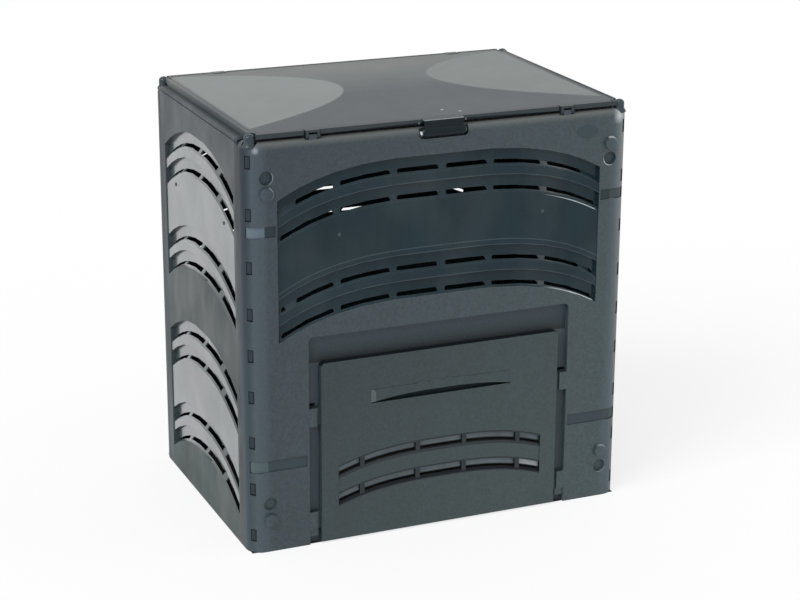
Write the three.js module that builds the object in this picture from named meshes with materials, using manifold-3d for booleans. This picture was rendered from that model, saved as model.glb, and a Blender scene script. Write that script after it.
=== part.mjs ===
// Compost bin with a lid: four moulded wall panels locked together by corner rods, a lid that hinges on
// clips, and a withdrawal door that lifts out of the front panel.
// Millimetres, +Z up, origin on the ground under the middle of the bin, front faces -Y.
import * as THREE from "three";
import { mergeVertices } from "three/addons/utils/BufferGeometryUtils.js";
import Module from "manifold-3d";

const wasm = await Module();
wasm.setup();

// Body
const bodyWidth = 750; // over the side panels' faces
const bodyDepth = 526; // over the front and back panels' faces
const panelHeight = 766; // ground to the top ledge of the front and back panels
const wall = 4;
const cornerRadius = 28;
const wrapLength = 36; // how far the front and back panels run round onto the sides
const topFillet = 12;
const ledgeDepth = 24; // top ledge, from the face inward
const ledgeLip = 8;
const footDepth = 14; // flange that stands on the ground
const footHeight = 4;
const seam = 0.5; // gap that shows between neighbouring panels
const clearance = 0.3; // between pieces that rest or slide on each other
const overrun = 2; // how far a cutting solid runs past what it cuts
const weld = 1; // how far joined solids run into each other
const mergeDistance = 1e-4;

// Facets
const cornerFacets = 6;
const filletFacets = 4;
const boreFacets = 8;
const roundFacets = 16;

// Side panels' top edge, on which the lid's side rims rest
const sideTopRise = 1.7; // above the front and back panels' ledge
const sideFillet = 5;
const sideGrooveDepth = 1.5;
const sideGrooveHeight = 2.2;
const sideEdgeWall = 4;
const sideEdgeDepth = 18;

// Louvres
const channelDepth = 9;
const relief = 1.5; // the zone's raised strips lie this far under the frame
const shellWall = 3;
const ledgeSlope = 1;
const slotDrop = 26.1; // from a channel's upper edge to its slot's middle
const slotHeight = 7.9;
const slotChamfer = 2.8;
const slotLip = 2.5; // depth of the lip in front of a slot's foot
const lipWall = 1.6; // left of the lip where a slot passes behind it
const ledgeCut = 4.5; // how far a slot reaches down behind its lip
const sillRise = 1.7;
const zoneLap = 5; // the zone's shell runs this far behind the frame
const rowPitch = 49;
const backZoneRise = 14; // of the back panel's zone over the front panel's
const slotFacet = 60; // longest straight piece of an arched slot
const frontStationShares = [0.3, 0.5, 0.66, 0.79, 0.9, 1];
const sideStationShares = [0.2, 0.42, 0.62, 0.82, 1];

// Front and back louvre zone
const frontZoneMargin = 59; // from the side faces
const frontZoneDrop = 49; // under the panel's top
const frontZoneSagShare = 0.0744; // of the panel's height, as the shares of the next four
const frontZonePower = 3.2;
const upperPairShare = 0.2363; // from one pair of rows to the next
const lowerPairShare = 0.2193;
const lowerZoneTopShare = 0.4543;
const sideZoneSagShare = 0.077;
const frontSlotGap = 13; // web between neighbouring slots
const frontSlotFirst = 7.5;
const frontSlotEndShares = [0.2785, 0.6203]; // of the zone's half width
const frontShortMargin = 36; // from a short row's last slot to the zone's end
const frontLongMargin = 7;
const frontDotLength = 8;

// Side louvre zones
const sideZoneMargin = 61;
const sideZoneDrop = 46.5;
const sideZonePower = 2.2;
const sideSlotFirst = 6.5;
const sideSlotEndShare = 0.4752;
const sideSlotGap = 17;
const sideSlotMargin = 4;

// Corner joint: sleeves on the side panels, lugs on the front and back panels, a rod through both
const rodInset = 15.5; // rod axis from both faces
const rodRadius = 4;
const rodClearance = 0.3;
const sleeveRadius = 6;
const sleeveFoot = 8;
const sleeveDrop = 16; // sleeve's head under the panel's top
const sleeveGap = 1; // between a sleeve and a lug
const webThickness = 3;
const lugHeight = 22;
const windowWidth = 11.5;
const windowHeight = 24;
const windowHeightShares = [0.0444, 0.162, 0.2794, 0.393, 0.4948, 0.5953, 0.7076, 0.833, 0.9556];
const padInset = 1.8; // pad face under the corner's surface
const seatDrop = 9.3;
const seatThickness = 5;

// Rod head
const headRadius = 9.6;
const skirtRadius = 13;
const skirtHeight = 2.5;
const skirtCone = 5;
const headHeight = 24;
const domeHeight = 7;
const headPocketClearance = 0.5;

// Raised and sunk buttons that let two bins stand side by side
const buttonMargin = 39; // from the side faces
const buttonRadius = 12;
const dimpleRadius = 12.6;
const buttonHeight = 6;
const dimpleDepth = 6.5;
const dimpleWall = 2.5;
const buttonRises = [62.5, 93.5]; // over the ground
const buttonDrops = [91.5, 63]; // under the panel's top

// Belts, the shallow grooves that run onto the corners
const beltDepth = 2;
const upperBeltDrops = [170, 150];
const lowerBelt = [156, 178];

// Small moulded marks
const pipRadius = 3.5;
const pipRise = 1.2;
const frontPipShare = 0.633; // of the zone's half width
const frontPipDrop = 129.5; // under the zone's top
const sidePipShare = 0.703;
const sidePipDrop = 124.5;
const badgeMargin = 87;
const badgeDrop = 37;
const badgeSize = [43, 25];
const badgeRise = 1;

// Door recess in the front panel
const recessMargin = 115; // from the side faces
const recessTopShare = 0.5255; // of the panel's height
const recessCorner = 9;
const recessDepth = 11;
const openingMargin = 32; // inside the recess
const openingDrop = 64.5; // under the recess's top
const openingSill = 20;
const tabReach = 15; // from the recess wall inward
const tabHeight = 35;
const lowerTabFoot = 28.5;
const upperTabShare = 0.5739; // of the recess's height
const tabThickness = 4;
const stopReach = 17;
const stopHeight = 14;
const coreHole = 7; // core hole above each upper tab

// Door
const doorMargin = 22; // inside the recess
const doorFoot = 3;
const doorDrop = 50.5; // under the recess's top
const doorCorner = 9;
const doorProud = 4;
const doorSkin = 3.5;
const doorWall = 3;
const doorBevel = 2;
const doorBevelSegments = 2;
const earReach = 18;
const doorZoneMargin = 33;
const doorZoneTopShare = 0.4929; // of the door's height
const doorZoneSag = 27;
const doorZonePower = 2.7;
const doorRowPitch = 54;
const doorChannelDepth = 7;
const doorSlotDrop = 15.5;
const doorSlotHeight = 5;
const doorSlotChamfer = 1.5;
const doorSlotLip = 2.5;
const doorSillRise = 3;
const doorRibShares = [0.2293, 0.7707]; // of the zone's half width
const doorRibWidth = 9;
const gripShare = 0.5924; // of the door's half width
const gripDrop = 64; // under the door's top
const gripHeight = 26;
const gripLens = 12;
const gripLensPower = 2.6;
const gripEndLens = 1.5;
const gripProud = 2;
const gripSlope = 7;
const gripStep = 0.6; // of the bead's waved edge over the door's face
const gripEndSlope = 9;
const gripWaveLength = 26;
const gripWaves = 4;
const gripWaveHeight = 5;
const gripStationShares = [0.25, 0.5, 0.72, 0.88, 1];
const gripPocketRise = 12;
const gripPocketFall = 12; // the pocket's floor lies this far under its mouth
const gripPocketDepth = 9;

// Lid
const lidRise = 9.7; // over the hinge
const lidSideInset = 16;
const lidEndInset = 7;
const lidPlate = 3;
const lidBead = 1; // thin raised border
const lidBeadWidth = 3;
const lidRim = 8.4; // rim's height at the front and back
const rimWall = 2.5;
const notchRadius = 12; // round the rod heads
const ribThickness = 1.5;
const ribMargin = 6; // from the side panels' ledges
const ribDrop = 4; // under the panel's top
const lidMarkPlaces = [
  [24, 63],
  [50, 42],
]; // from the middle of the lid and from the front panel's face
const lidMarkSize = [7, 3];
const lidMarkRise = 0.8;

// Clips that hold and hinge the lid
const clipMargin = 128; // from the side faces
const hingeInset = 8;
const hingeRise = 4; // over the panel's top
const cheekGap = 16;
const cheekThickness = 5;
const cheekRadius = 6;
const pinRadius = 2.5;
const hookWall = 2.1;
const hookTop = 2; // jaws above the pin's axis
const hookSide = 0.6; // gap between hook and cheek
const rimGap = 2; // gap between cheek and rim
const strapReach = 4; // in front of the pin's axis
const strapSlot = 2.4;
const strapSlotPlace = 9; // behind the pin's axis
const scoopClearance = 1.2;

// Lip at the middle of the lid's front edge
const lipHalf = 38;
const lipThickness = 4;
const lipForward = 1; // in front of the panel's face
const lipBulge = 5.5; // of its rounded lower edge, in front of the panel's face
const lipRadius = 9;
const lipBack = 6; // behind the panel's face
const lipEndInset = 1.5; // of the rounded edge's round ends
const lipDrop = 9.5; // from the panel's top to the axis of its rounded lower edge
const pocketHalf = 48;
const pocketDrop = 21;
const pocketDepth = 9;
const pocketCorner = 8;

// Derived places
const halfWidth = bodyWidth / 2;
const halfDepth = bodyDepth / 2;
const sideTop = panelHeight + sideTopRise;
const seatTop = panelHeight - seatDrop;
const sleeveHead = panelHeight - sleeveDrop;
const hingeHeight = panelHeight + hingeRise;
const lidTop = hingeHeight + lidRise;
const lipHeight = panelHeight - lipDrop;
const pocketFoot = panelHeight - pocketDrop;
const clipPlace = halfWidth - clipMargin;
const buttonPlace = halfWidth - buttonMargin;
const buttonHeights = [...buttonRises, ...buttonDrops.map((drop) => panelHeight - drop)];
const upperBelt = upperBeltDrops.map((drop) => panelHeight - drop);
const badgeCentre = [halfWidth - badgeMargin, panelHeight - badgeDrop];

// Derived louvre zones
const frontZoneHalf = halfWidth - frontZoneMargin;
const frontZoneTop = panelHeight - frontZoneDrop;
const frontZoneSag = frontZoneSagShare * panelHeight;
const upperPairPitch = upperPairShare * panelHeight;
const lowerPairPitch = lowerPairShare * panelHeight;
const lowerZoneTop = lowerZoneTopShare * panelHeight;
const frontSlotEnds = frontSlotEndShares.map((share) => share * frontZoneHalf);
const frontShortRow = frontZoneHalf - frontShortMargin;
const frontLongRow = frontZoneHalf - frontLongMargin;
const frontPip = [frontPipShare * frontZoneHalf, frontZoneTop - frontPipDrop];
const sideZoneHalf = halfDepth - sideZoneMargin;
const sideZoneTop = panelHeight - sideZoneDrop;
const sideZoneSag = sideZoneSagShare * panelHeight;
const sideSlotEnd = sideSlotEndShare * sideZoneHalf;
const sideSlotLast = sideZoneHalf - sideSlotMargin;
const sidePip = [sidePipShare * sideZoneHalf, sideZoneTop - sidePipDrop];

// Derived places of the door and its recess
const recessHalf = halfWidth - recessMargin;
const recessTop = recessTopShare * panelHeight;
const openingHalf = recessHalf - openingMargin;
const openingTop = recessTop - openingDrop;
const tabFeet = [lowerTabFoot, upperTabShare * recessTop];
const doorHalf = recessHalf - doorMargin;
const doorTop = recessTop - doorDrop;
const doorZoneHalf = doorHalf - doorZoneMargin;
const doorZoneTop = doorZoneTopShare * doorTop;
const doorRibPlaces = doorRibShares.map((share) => share * doorZoneHalf);
const gripHalf = gripShare * doorHalf;
const gripTop = doorTop - gripDrop;
const gripFoot = gripTop - gripHeight;

// Derived places of the panels' joints
const sideHalf = halfDepth - wrapLength - seam;
const rodFromArc = (cornerRadius - rodInset) * Math.SQRT2;
const boreRadius = rodRadius + rodClearance;
const windowHeights = windowHeightShares.map((share) => share * panelHeight);
const lugHeights = [
  (windowHeights[0] + windowHeights[1]) / 2,
  (windowHeights[4] + windowHeights[5]) / 2,
  (windowHeights[7] + windowHeights[8]) / 2,
];

// Turns a closed geometry into a solid
function solid(geometry) {
  const bare = geometry.index ? geometry.toNonIndexed() : geometry.clone();
  bare.deleteAttribute("normal");
  bare.deleteAttribute("uv");
  const merged = mergeVertices(bare, mergeDistance);
  const vertProperties = merged.getAttribute("position").array;
  const triVerts = new Uint32Array(merged.index.array);
  return new wasm.Manifold(new wasm.Mesh({ numProp: 3, vertProperties, triVerts }));
}

function join(solids) {
  return solids.reduce((all, one) => all.add(one));
}

function block([x0, x1], [y0, y1], [z0, z1]) {
  const geometry = new THREE.BoxGeometry(x1 - x0, y1 - y0, z1 - z0);
  geometry.translate((x0 + x1) / 2, (y0 + y1) / 2, (z0 + z1) / 2);
  return solid(geometry);
}

// Upright round solid
function post([x, y], radius, [z0, z1], facets) {
  const geometry = new THREE.CylinderGeometry(radius, radius, z1 - z0, facets);
  geometry.rotateX(Math.PI / 2);
  geometry.translate(x, y, (z0 + z1) / 2);
  return solid(geometry);
}

// Round solid through a panel's face, along v
function plug([u, z], radius, [v0, v1], facets) {
  const geometry = new THREE.CylinderGeometry(radius, radius, v1 - v0, facets);
  geometry.translate(u, (v0 + v1) / 2, z);
  return solid(geometry);
}

// Round bar along u
function bar([v, z], radius, [u0, u1], facets) {
  const geometry = new THREE.CylinderGeometry(radius, radius, u1 - u0, facets);
  geometry.rotateZ(Math.PI / 2);
  geometry.translate((u0 + u1) / 2, v, z);
  return solid(geometry);
}

function shapeOf(points) {
  return new THREE.Shape(points.map(([a, b]) => new THREE.Vector2(a, b)));
}

// Points of an arc round a centre, from one angle to another in degrees
function arc([a, b], radius, from, to, facets) {
  return Array.from({ length: facets + 1 }, (_, i) => {
    const angle = THREE.MathUtils.degToRad(from + ((to - from) * i) / facets);
    return [a + radius * Math.cos(angle), b + radius * Math.sin(angle)];
  });
}

// Every panel is drawn in its own frame: u along its face, v from its face inward, z up.
// A profile in (v, z) is carried along stations, each a function of v and z that gives a point.
function carry(profile, stations) {
  const steps = stations.length - 1;
  const geometry = new THREE.ExtrudeGeometry(shapeOf(profile), { depth: steps, steps, bevelEnabled: false });
  const position = geometry.getAttribute("position");
  for (let i = 0; i < position.count; i++) {
    const station = stations[Math.round(position.getZ(i))];
    const [x, y, z] = station(position.getX(i), position.getY(i));
    position.setXYZ(i, x, y, z);
  }
  return solid(geometry);
}

// Straight or sagging run of a (v, z) profile along u
function run(profile, places, sagAt = () => 0) {
  return carry(
    profile,
    places.map((u) => (v, z) => [u, v, z - sagAt(u)]),
  );
}

// A (u, z) outline carried through the panel along v
function through(outline, [v0, v1]) {
  const geometry = new THREE.ExtrudeGeometry(shapeOf(outline), { depth: v1 - v0, bevelEnabled: false });
  geometry.rotateX(Math.PI / 2);
  geometry.translate(0, v1, 0);
  return solid(geometry);
}

// A plan outline in (x, y) carried up
function upright(outline, [z0, z1]) {
  const geometry = new THREE.ExtrudeGeometry(shapeOf(outline), { depth: z1 - z0, bevelEnabled: false });
  geometry.translate(0, 0, z0);
  return solid(geometry);
}

// Moves a list of points parallel to itself, to the left of its direction
function offsetLine(points, distance) {
  const normals = points.slice(1).map(([a, b], i) => {
    const [da, db] = [a - points[i][0], b - points[i][1]];
    const length = Math.hypot(da, db);
    return [-db / length, da / length];
  });
  return points.map(([a, b], i) => {
    const before = normals[Math.max(i - 1, 0)];
    const after = normals[Math.min(i, normals.length - 1)];
    const scale = distance / (1 + before[0] * after[0] + before[1] * after[1]);
    return [a + (before[0] + after[0]) * scale, b + (before[1] + after[1]) * scale];
  });
}

// Mirrors a list of places, without doubling zero
function mirrored(places) {
  return [...places.map((u) => -u).reverse(), ...places];
}

// A slot's outline along an arch, with its corners cut off where it has a chamfer
function slotOutline(near, far, middleAt, height, chamfer) {
  const pieces = Math.ceil(Math.hypot(far - near, middleAt(near) - middleAt(far)) / slotFacet);
  const step = (far - near - 2 * chamfer) / pieces;
  const inner = Array.from({ length: pieces + 1 }, (_, i) => near + chamfer + step * i);
  const upper = inner.map((u) => [u, middleAt(u) + height / 2]);
  const lower = inner.map((u) => [u, middleAt(u) - height / 2]).reverse();
  if (chamfer === 0) return [...upper, ...lower];
  const rise = height / 2 - chamfer;
  const nearEnd = [-rise, rise].map((z) => [near, middleAt(near) + z]);
  const farEnd = [rise, -rise].map((z) => [far, middleAt(far) + z]);
  return [...nearEnd, ...upper, ...farEnd, ...lower];
}

// An arched louvre zone: the frame's opening, the stepped shell that fills it and the slots cut in the shell
function louvreZone(zone) {
  const { half, sag, power, top, steps, runs, stationShares } = zone;
  const { face, deep, drop, slot, chamfer, lip, sill } = zone;
  const sagAt = (u) => sag * (Math.abs(u) / half) ** power;
  const places = mirrored(stationShares.map((share) => share * half));
  const strip = face + relief;
  const line = [[face, top + zoneLap]];
  steps.forEach((step, i) => {
    const edge = top - step;
    const foot = edge - drop - slot / 2;
    line.push([i === 0 ? face : strip, edge]);
    line.push([face + deep, edge - ledgeSlope]);
    line.push([face + deep, foot + slot]);
    line.push([face + lip, foot]);
    line.push([i === steps.length - 1 ? face : strip, foot - sill]);
  });
  const bottom = line[line.length - 1][1];
  line.push([face, bottom - zoneLap]);
  const profile = [...line, ...offsetLine(line, shellWall).reverse()];
  const shellPlaces = [-half - weld, ...places, half + weld];
  const endProfile = [
    [face, bottom - sag - shellWall],
    [face, top - sag + shellWall],
    [face + deep + shellWall, top - sag + shellWall],
    [face + deep + shellWall, bottom - sag - shellWall],
  ];
  const shell = join([
    run(profile, shellPlaces, sagAt),
    run(endProfile, [half, half + shellWall]),
    run(endProfile, [-half - shellWall, -half]),
  ]);
  const outline = [
    ...places.map((u) => [u, top - sagAt(u)]),
    ...[...places].reverse().map((u) => [u, bottom - sagAt(u)]),
  ];
  const opening = through(outline, [face - overrun, face + deep + overrun]);
  const slots = steps.flatMap((step, row) =>
    runs(row).flatMap(([near, far]) => {
      const middleAt = (u) => top - step - drop - ledgeCut / 2 - sagAt(u);
      const right = slotOutline(near, far, middleAt, slot + ledgeCut, chamfer);
      const left = right.map(([u, z]) => [-u, z]).reverse();
      const reach = [face + lip + lipWall, face + deep + shellWall + overrun];
      return [through(right, reach), through(left, reach)];
    }),
  );
  return { shell, opening, slots };
}

function fitZone(panel, zone) {
  return join([panel.subtract(zone.opening), zone.shell]).subtract(join(zone.slots));
}

function frontRuns(row) {
  const last = row % 2 === 0 ? frontShortRow : frontLongRow;
  const ends = [...frontSlotEnds, last];
  const runs = ends.map((end, i) => [i === 0 ? frontSlotFirst : ends[i - 1] + frontSlotGap, end]);
  return row === 2 ? [...runs, [frontLongRow - frontDotLength, frontLongRow]] : runs;
}

function sideRuns() {
  return [
    [sideSlotFirst, sideSlotEnd],
    [sideSlotEnd + sideSlotGap, sideSlotLast],
  ];
}

const panelLouvre = {
  face: 0,
  deep: channelDepth,
  drop: slotDrop,
  slot: slotHeight,
  chamfer: slotChamfer,
  lip: slotLip,
  sill: sillRise,
};

function frontZone(top, pairPitch) {
  return louvreZone({
    ...panelLouvre,
    half: frontZoneHalf,
    sag: frontZoneSag,
    power: frontZonePower,
    top,
    steps: [0, rowPitch, pairPitch, pairPitch + rowPitch],
    runs: frontRuns,
    stationShares: frontStationShares,
  });
}

function sideZone(top, pairPitch) {
  return louvreZone({
    ...panelLouvre,
    chamfer: 0,
    half: sideZoneHalf,
    sag: sideZoneSag,
    power: sideZonePower,
    top,
    steps: [0, rowPitch, pairPitch, pairPitch + rowPitch],
    runs: sideRuns,
    stationShares: sideStationShares,
  });
}

// Stations along the front face and round both corners, between two places measured from the middle.
// A place past the flat face runs on round the corner and along the side.
const flatHalf = halfWidth - cornerRadius;
const cornerLength = (cornerRadius * Math.PI) / 2;
const wrapEnd = flatHalf + cornerLength + wrapLength - cornerRadius;

function faceStation(place) {
  const side = Math.sign(place);
  const beyond = Math.abs(place) - flatHalf;
  if (beyond <= 0) return (v, z) => [place, v, z];
  if (beyond >= cornerLength) {
    const y = cornerRadius + beyond - cornerLength;
    return (v, z) => [side * (halfWidth - v), y, z];
  }
  const angle = beyond / cornerRadius;
  return (v, z) => {
    const reach = cornerRadius - v;
    return [side * (flatHalf + reach * Math.sin(angle)), cornerRadius - reach * Math.cos(angle), z];
  };
}

function cornerPlaces(from, to) {
  const step = cornerLength / cornerFacets;
  const bends = Array.from({ length: cornerFacets + 1 }, (_, i) => flatHalf + step * i);
  return [from, ...bends.filter((place) => place > from && place < to), to];
}

function alongFace(profile, from, to) {
  return carry(profile, cornerPlaces(from, to).map(faceStation));
}

function alongFaceLeft(profile, from, to) {
  const places = cornerPlaces(from, to).map((place) => -place);
  return carry(profile, places.reverse().map(faceStation));
}

// Front and back panels share this body
function facePanelProfile() {
  const outer = arc([topFillet, panelHeight - topFillet], topFillet, 180, 90, filletFacets);
  const inner = arc([topFillet, panelHeight - topFillet], topFillet - wall, 90, 180, filletFacets);
  return [
    [0, 0],
    ...outer,
    [ledgeDepth, panelHeight],
    [ledgeDepth, panelHeight - ledgeLip],
    [ledgeDepth - shellWall, panelHeight - ledgeLip],
    [ledgeDepth - shellWall, panelHeight - wall],
    ...inner,
    [wall, footHeight],
    [footDepth, footHeight],
    [footDepth, 0],
  ];
}

function facePanelBody() {
  const bends = cornerPlaces(flatHalf, wrapEnd);
  return carry(facePanelProfile(), mirrored(bends).map(faceStation));
}

// Corner places of a face panel, as the middle of the corner's arc and the rod's axis
function cornerOf(side) {
  return {
    centre: [side * flatHalf, cornerRadius],
    axis: [side * (halfWidth - rodInset), rodInset],
    angle: side > 0 ? -Math.PI / 4 : (-Math.PI * 3) / 4,
  };
}

// A block that points from the corner's middle to the corner, between two radii
function radialBlock(corner, [near, far], width, [z0, z1]) {
  const geometry = new THREE.BoxGeometry(far - near, width, z1 - z0);
  geometry.translate((near + far) / 2, 0, (z0 + z1) / 2);
  geometry.rotateZ(corner.angle);
  geometry.translate(...corner.centre, 0);
  return solid(geometry);
}

function around(middle, height) {
  return [middle - height / 2, middle + height / 2];
}

function cornerParts(side) {
  const corner = cornerOf(side);
  const lugs = lugHeights.flatMap((z) => [
    post(corner.axis, sleeveRadius, around(z, lugHeight), boreFacets),
    radialBlock(corner, [rodFromArc, cornerRadius - weld], 2 * sleeveRadius, around(z, lugHeight)),
  ]);
  const start = side > 0 ? -90 : 180;
  const seatArc = arc(corner.centre, cornerRadius - weld, start, start + 90, cornerFacets);
  const seat = upright([corner.centre, ...seatArc], [seatTop - seatThickness, seatTop]);
  const windowReach = [cornerRadius - wall - overrun, cornerRadius + overrun];
  const windows = windowHeights.map((z) =>
    radialBlock(corner, windowReach, windowWidth, around(z, windowHeight)),
  );
  const bore = post(corner.axis, boreRadius, [lugHeights[0] - lugHeight, seatTop + overrun], boreFacets);
  const pocketRadius = skirtRadius + headPocketClearance;
  const pocket = post(corner.axis, pocketRadius, [seatTop, panelHeight + overrun], roundFacets);
  return { added: [...lugs, seat], cut: [...windows, bore, pocket] };
}

// Buttons stand on one side of the face and dimples on the other, so that a turned panel meets its neighbour
function buttons() {
  const added = [];
  const cut = [];
  buttonHeights.forEach((z, i) => {
    const raisedSide = i % 2 === 0 ? -1 : 1;
    added.push(plug([raisedSide * buttonPlace, z], buttonRadius, [-buttonHeight, weld], roundFacets));
    const dimple = [-raisedSide * buttonPlace, z];
    added.push(plug(dimple, dimpleRadius + dimpleWall, [wall - weld, dimpleDepth + dimpleWall], roundFacets));
    cut.push(plug(dimple, dimpleRadius, [-overrun, dimpleDepth], roundFacets));
  });
  return { added, cut };
}

function beltCuts(lowerStart) {
  const strip = ([z0, z1]) => [
    [-overrun, z0],
    [-overrun, z1],
    [beltDepth, z1],
    [beltDepth, z0],
  ];
  const upperStart = frontZoneHalf + shellWall;
  const end = flatHalf + (cornerLength + windowWidth) / 2;
  return [
    alongFace(strip(upperBelt), upperStart, end),
    alongFaceLeft(strip(upperBelt), upperStart, end),
    alongFace(strip(lowerBelt), lowerStart, end),
    alongFaceLeft(strip(lowerBelt), lowerStart, end),
  ];
}

function pips([u, z], face) {
  return [-1, 1].map((side) => plug([side * u, z], pipRadius, [face - pipRise, face + weld], boreFacets));
}

// Open hooks that carry the lid's pins, with a scoop for the lid's cheeks
function hooks() {
  const half = cheekGap / 2 - hookSide;
  const jaw = pinRadius + clearance;
  const outer = jaw + hookWall;
  const profile = [
    [hingeInset - outer, hingeHeight + hookTop],
    [hingeInset - outer, panelHeight - wall],
    [hingeInset + outer, panelHeight - wall],
    [hingeInset + outer, hingeHeight + hookTop],
    [hingeInset + jaw, hingeHeight + hookTop],
    ...arc([hingeInset, hingeHeight], jaw, 0, -180, boreFacets / 2),
    [hingeInset - jaw, hingeHeight + hookTop],
  ];
  const scoopHalf = cheekGap / 2 + cheekThickness + scoopClearance;
  const scoopRadius = cheekRadius + scoopClearance;
  const pin = [hingeInset, hingeHeight];
  const places = [-clipPlace, clipPlace];
  return {
    added: places.map((u) => run(profile, [u - half, u + half])),
    cut: places.map((u) => bar(pin, scoopRadius, [u - scoopHalf, u + scoopHalf], roundFacets)),
  };
}

// Pocket in the top edge for the lid's lip, walled behind
function lipPocket() {
  const back = pocketDepth + wall;
  const rim = pocketHalf + wall;
  const profile = [
    [wall - weld, pocketFoot - wall],
    [wall - weld, panelHeight - topFillet + shellWall],
    [pocketDepth, panelHeight - overrun],
    [back, panelHeight - overrun],
    [back, pocketFoot - wall],
  ];
  const outline = [
    [-pocketHalf, panelHeight + overrun],
    ...arc([-pocketHalf + pocketCorner, pocketFoot + pocketCorner], pocketCorner, 180, 270, filletFacets),
    ...arc([pocketHalf - pocketCorner, pocketFoot + pocketCorner], pocketCorner, 270, 360, filletFacets),
    [pocketHalf, panelHeight + overrun],
  ];
  return { added: run(profile, [-rim, rim]), cut: through(outline, [-overrun, pocketDepth]) };
}

// Recess in which the door slides
function doorRecess() {
  const outer = recessHalf + wall;
  const back = recessDepth + wall;
  const tray = through(
    [
      [-outer, 0],
      [outer, 0],
      [outer, recessTop + wall],
      [-outer, recessTop + wall],
    ],
    [0, back],
  );
  const outline = [
    [-recessHalf, -overrun],
    [recessHalf, -overrun],
    ...arc([recessHalf - recessCorner, recessTop - recessCorner], recessCorner, 0, 90, filletFacets),
    ...arc([recessCorner - recessHalf, recessTop - recessCorner], recessCorner, 90, 180, filletFacets),
  ];
  const recess = through(outline, [-overrun, recessDepth]);
  const opening = block([-openingHalf, openingHalf], [wall, back + overrun], [openingSill, openingTop]);
  const foot = block([-outer, outer], [recessDepth, recessDepth + footDepth], [0, footHeight]);
  const stopDepth = [tabThickness - weld, recessDepth + weld];
  const stopSpan = [tabFeet[0] - stopHeight, tabFeet[0]];
  const tabs = [-1, 1].flatMap((side) => {
    const span = (reach) => [side * (recessHalf - reach), side * (recessHalf + weld)].sort((a, b) => a - b);
    return [
      ...tabFeet.map((z) => block(span(tabReach), [0, tabThickness], [z, z + tabHeight])),
      block(span(stopReach), stopDepth, stopSpan),
    ];
  });
  const coreHoles = [-1, 1].map((side) => {
    const span = [side * (recessHalf - tabReach), side * recessHalf].sort((a, b) => a - b);
    const z = tabFeet[1] + tabHeight;
    return block(span, [recessDepth - weld, back + overrun], [z, z + coreHole]);
  });
  return { tray, cuts: [recess, opening, ...coreHoles], added: [...tabs, foot] };
}

function badge() {
  const oval = new THREE.CylinderGeometry(badgeSize[0] / 2, badgeSize[0] / 2, badgeRise + weld, roundFacets);
  oval.scale(1, 1, badgeSize[1] / badgeSize[0]);
  oval.translate(badgeCentre[0], (weld - badgeRise) / 2, badgeCentre[1]);
  return solid(oval);
}

function facePanel(withDoor) {
  let panel = facePanelBody();
  const recess = doorRecess();
  if (withDoor) panel = join([panel, recess.tray]).subtract(join(recess.cuts));
  if (withDoor) panel = join([panel, ...recess.added]);
  const zoneTop = withDoor ? frontZoneTop : frontZoneTop + backZoneRise;
  panel = fitZone(panel, frontZone(zoneTop, upperPairPitch));
  const corners = [cornerParts(-1), cornerParts(1)];
  const button = buttons();
  const hook = hooks();
  const pocket = lipPocket();
  const beltStart = withDoor ? recessHalf + wall : frontZoneHalf + shellWall;
  panel = join([panel, ...corners.flatMap((corner) => corner.added), ...button.added]);
  if (withDoor) panel = panel.add(pocket.added).subtract(pocket.cut);
  panel = panel.subtract(join([...button.cut, ...beltCuts(beltStart), ...hook.cut]));
  panel = join([panel, ...hook.added, ...pips(frontPip, relief), ...(withDoor ? [badge()] : [])]);
  panel = panel.subtract(join(corners.flatMap((corner) => corner.cut)));
  return panel;
}

// Side panels
const grooveTop = sideTop - sideFillet;

function sideFaceLine() {
  return [
    [0, 0],
    [0, grooveTop - sideGrooveHeight],
    [sideGrooveDepth, grooveTop - sideGrooveHeight],
    [sideGrooveDepth, grooveTop],
    ...arc([sideFillet, sideTop - sideFillet], sideFillet, 180, 90, filletFacets),
  ];
}

function sideProfile() {
  return [
    ...sideFaceLine(),
    [ledgeDepth, sideTop],
    [ledgeDepth, sideTop - ledgeLip],
    [ledgeDepth - shellWall, sideTop - ledgeLip],
    [ledgeDepth - shellWall, sideTop - wall],
    [sideFillet + shellWall, sideTop - wall],
    [wall, grooveTop - sideGrooveHeight],
    [wall, footHeight],
    [footDepth, footHeight],
    [footDepth, 0],
  ];
}

function sideEdgeProfile() {
  return [...sideFaceLine(), [sideEdgeDepth, sideTop], [sideEdgeDepth, 0]];
}

// Sleeve lengths between the lugs of the neighbouring face panel
function sleeveSpans() {
  const gap = lugHeight / 2 + sleeveGap;
  const starts = [sleeveFoot, ...lugHeights.map((z) => z + gap)];
  const ends = [...lugHeights.map((z) => z - gap), sleeveHead];
  return starts.map((start, i) => [start, ends[i]]);
}

function sleeves(side) {
  const axis = [side * (halfDepth - rodInset), rodInset];
  const centre = [side * (halfDepth - cornerRadius), cornerRadius];
  const corner = { centre, axis, angle: side > 0 ? -Math.PI / 4 : (-Math.PI * 3) / 4 };
  const webRange = [side * (sideHalf - weld), axis[0]].sort((a, b) => a - b);
  const added = sleeveSpans().flatMap((span) => [
    post(axis, sleeveRadius, span, boreFacets),
    block(webRange, [sideEdgeDepth - webThickness - weld, sideEdgeDepth - weld], span),
  ]);
  const padReach = [rodFromArc, cornerRadius - padInset];
  const padHeight = windowHeight - 2 * seam;
  const pads = windowHeights.map((z) =>
    radialBlock(corner, padReach, windowWidth - 2 * seam, around(z, padHeight)),
  );
  const bore = post(axis, boreRadius, [0, sleeveHead + overrun], boreFacets);
  return { added: [...added, ...pads], bore };
}

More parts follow.
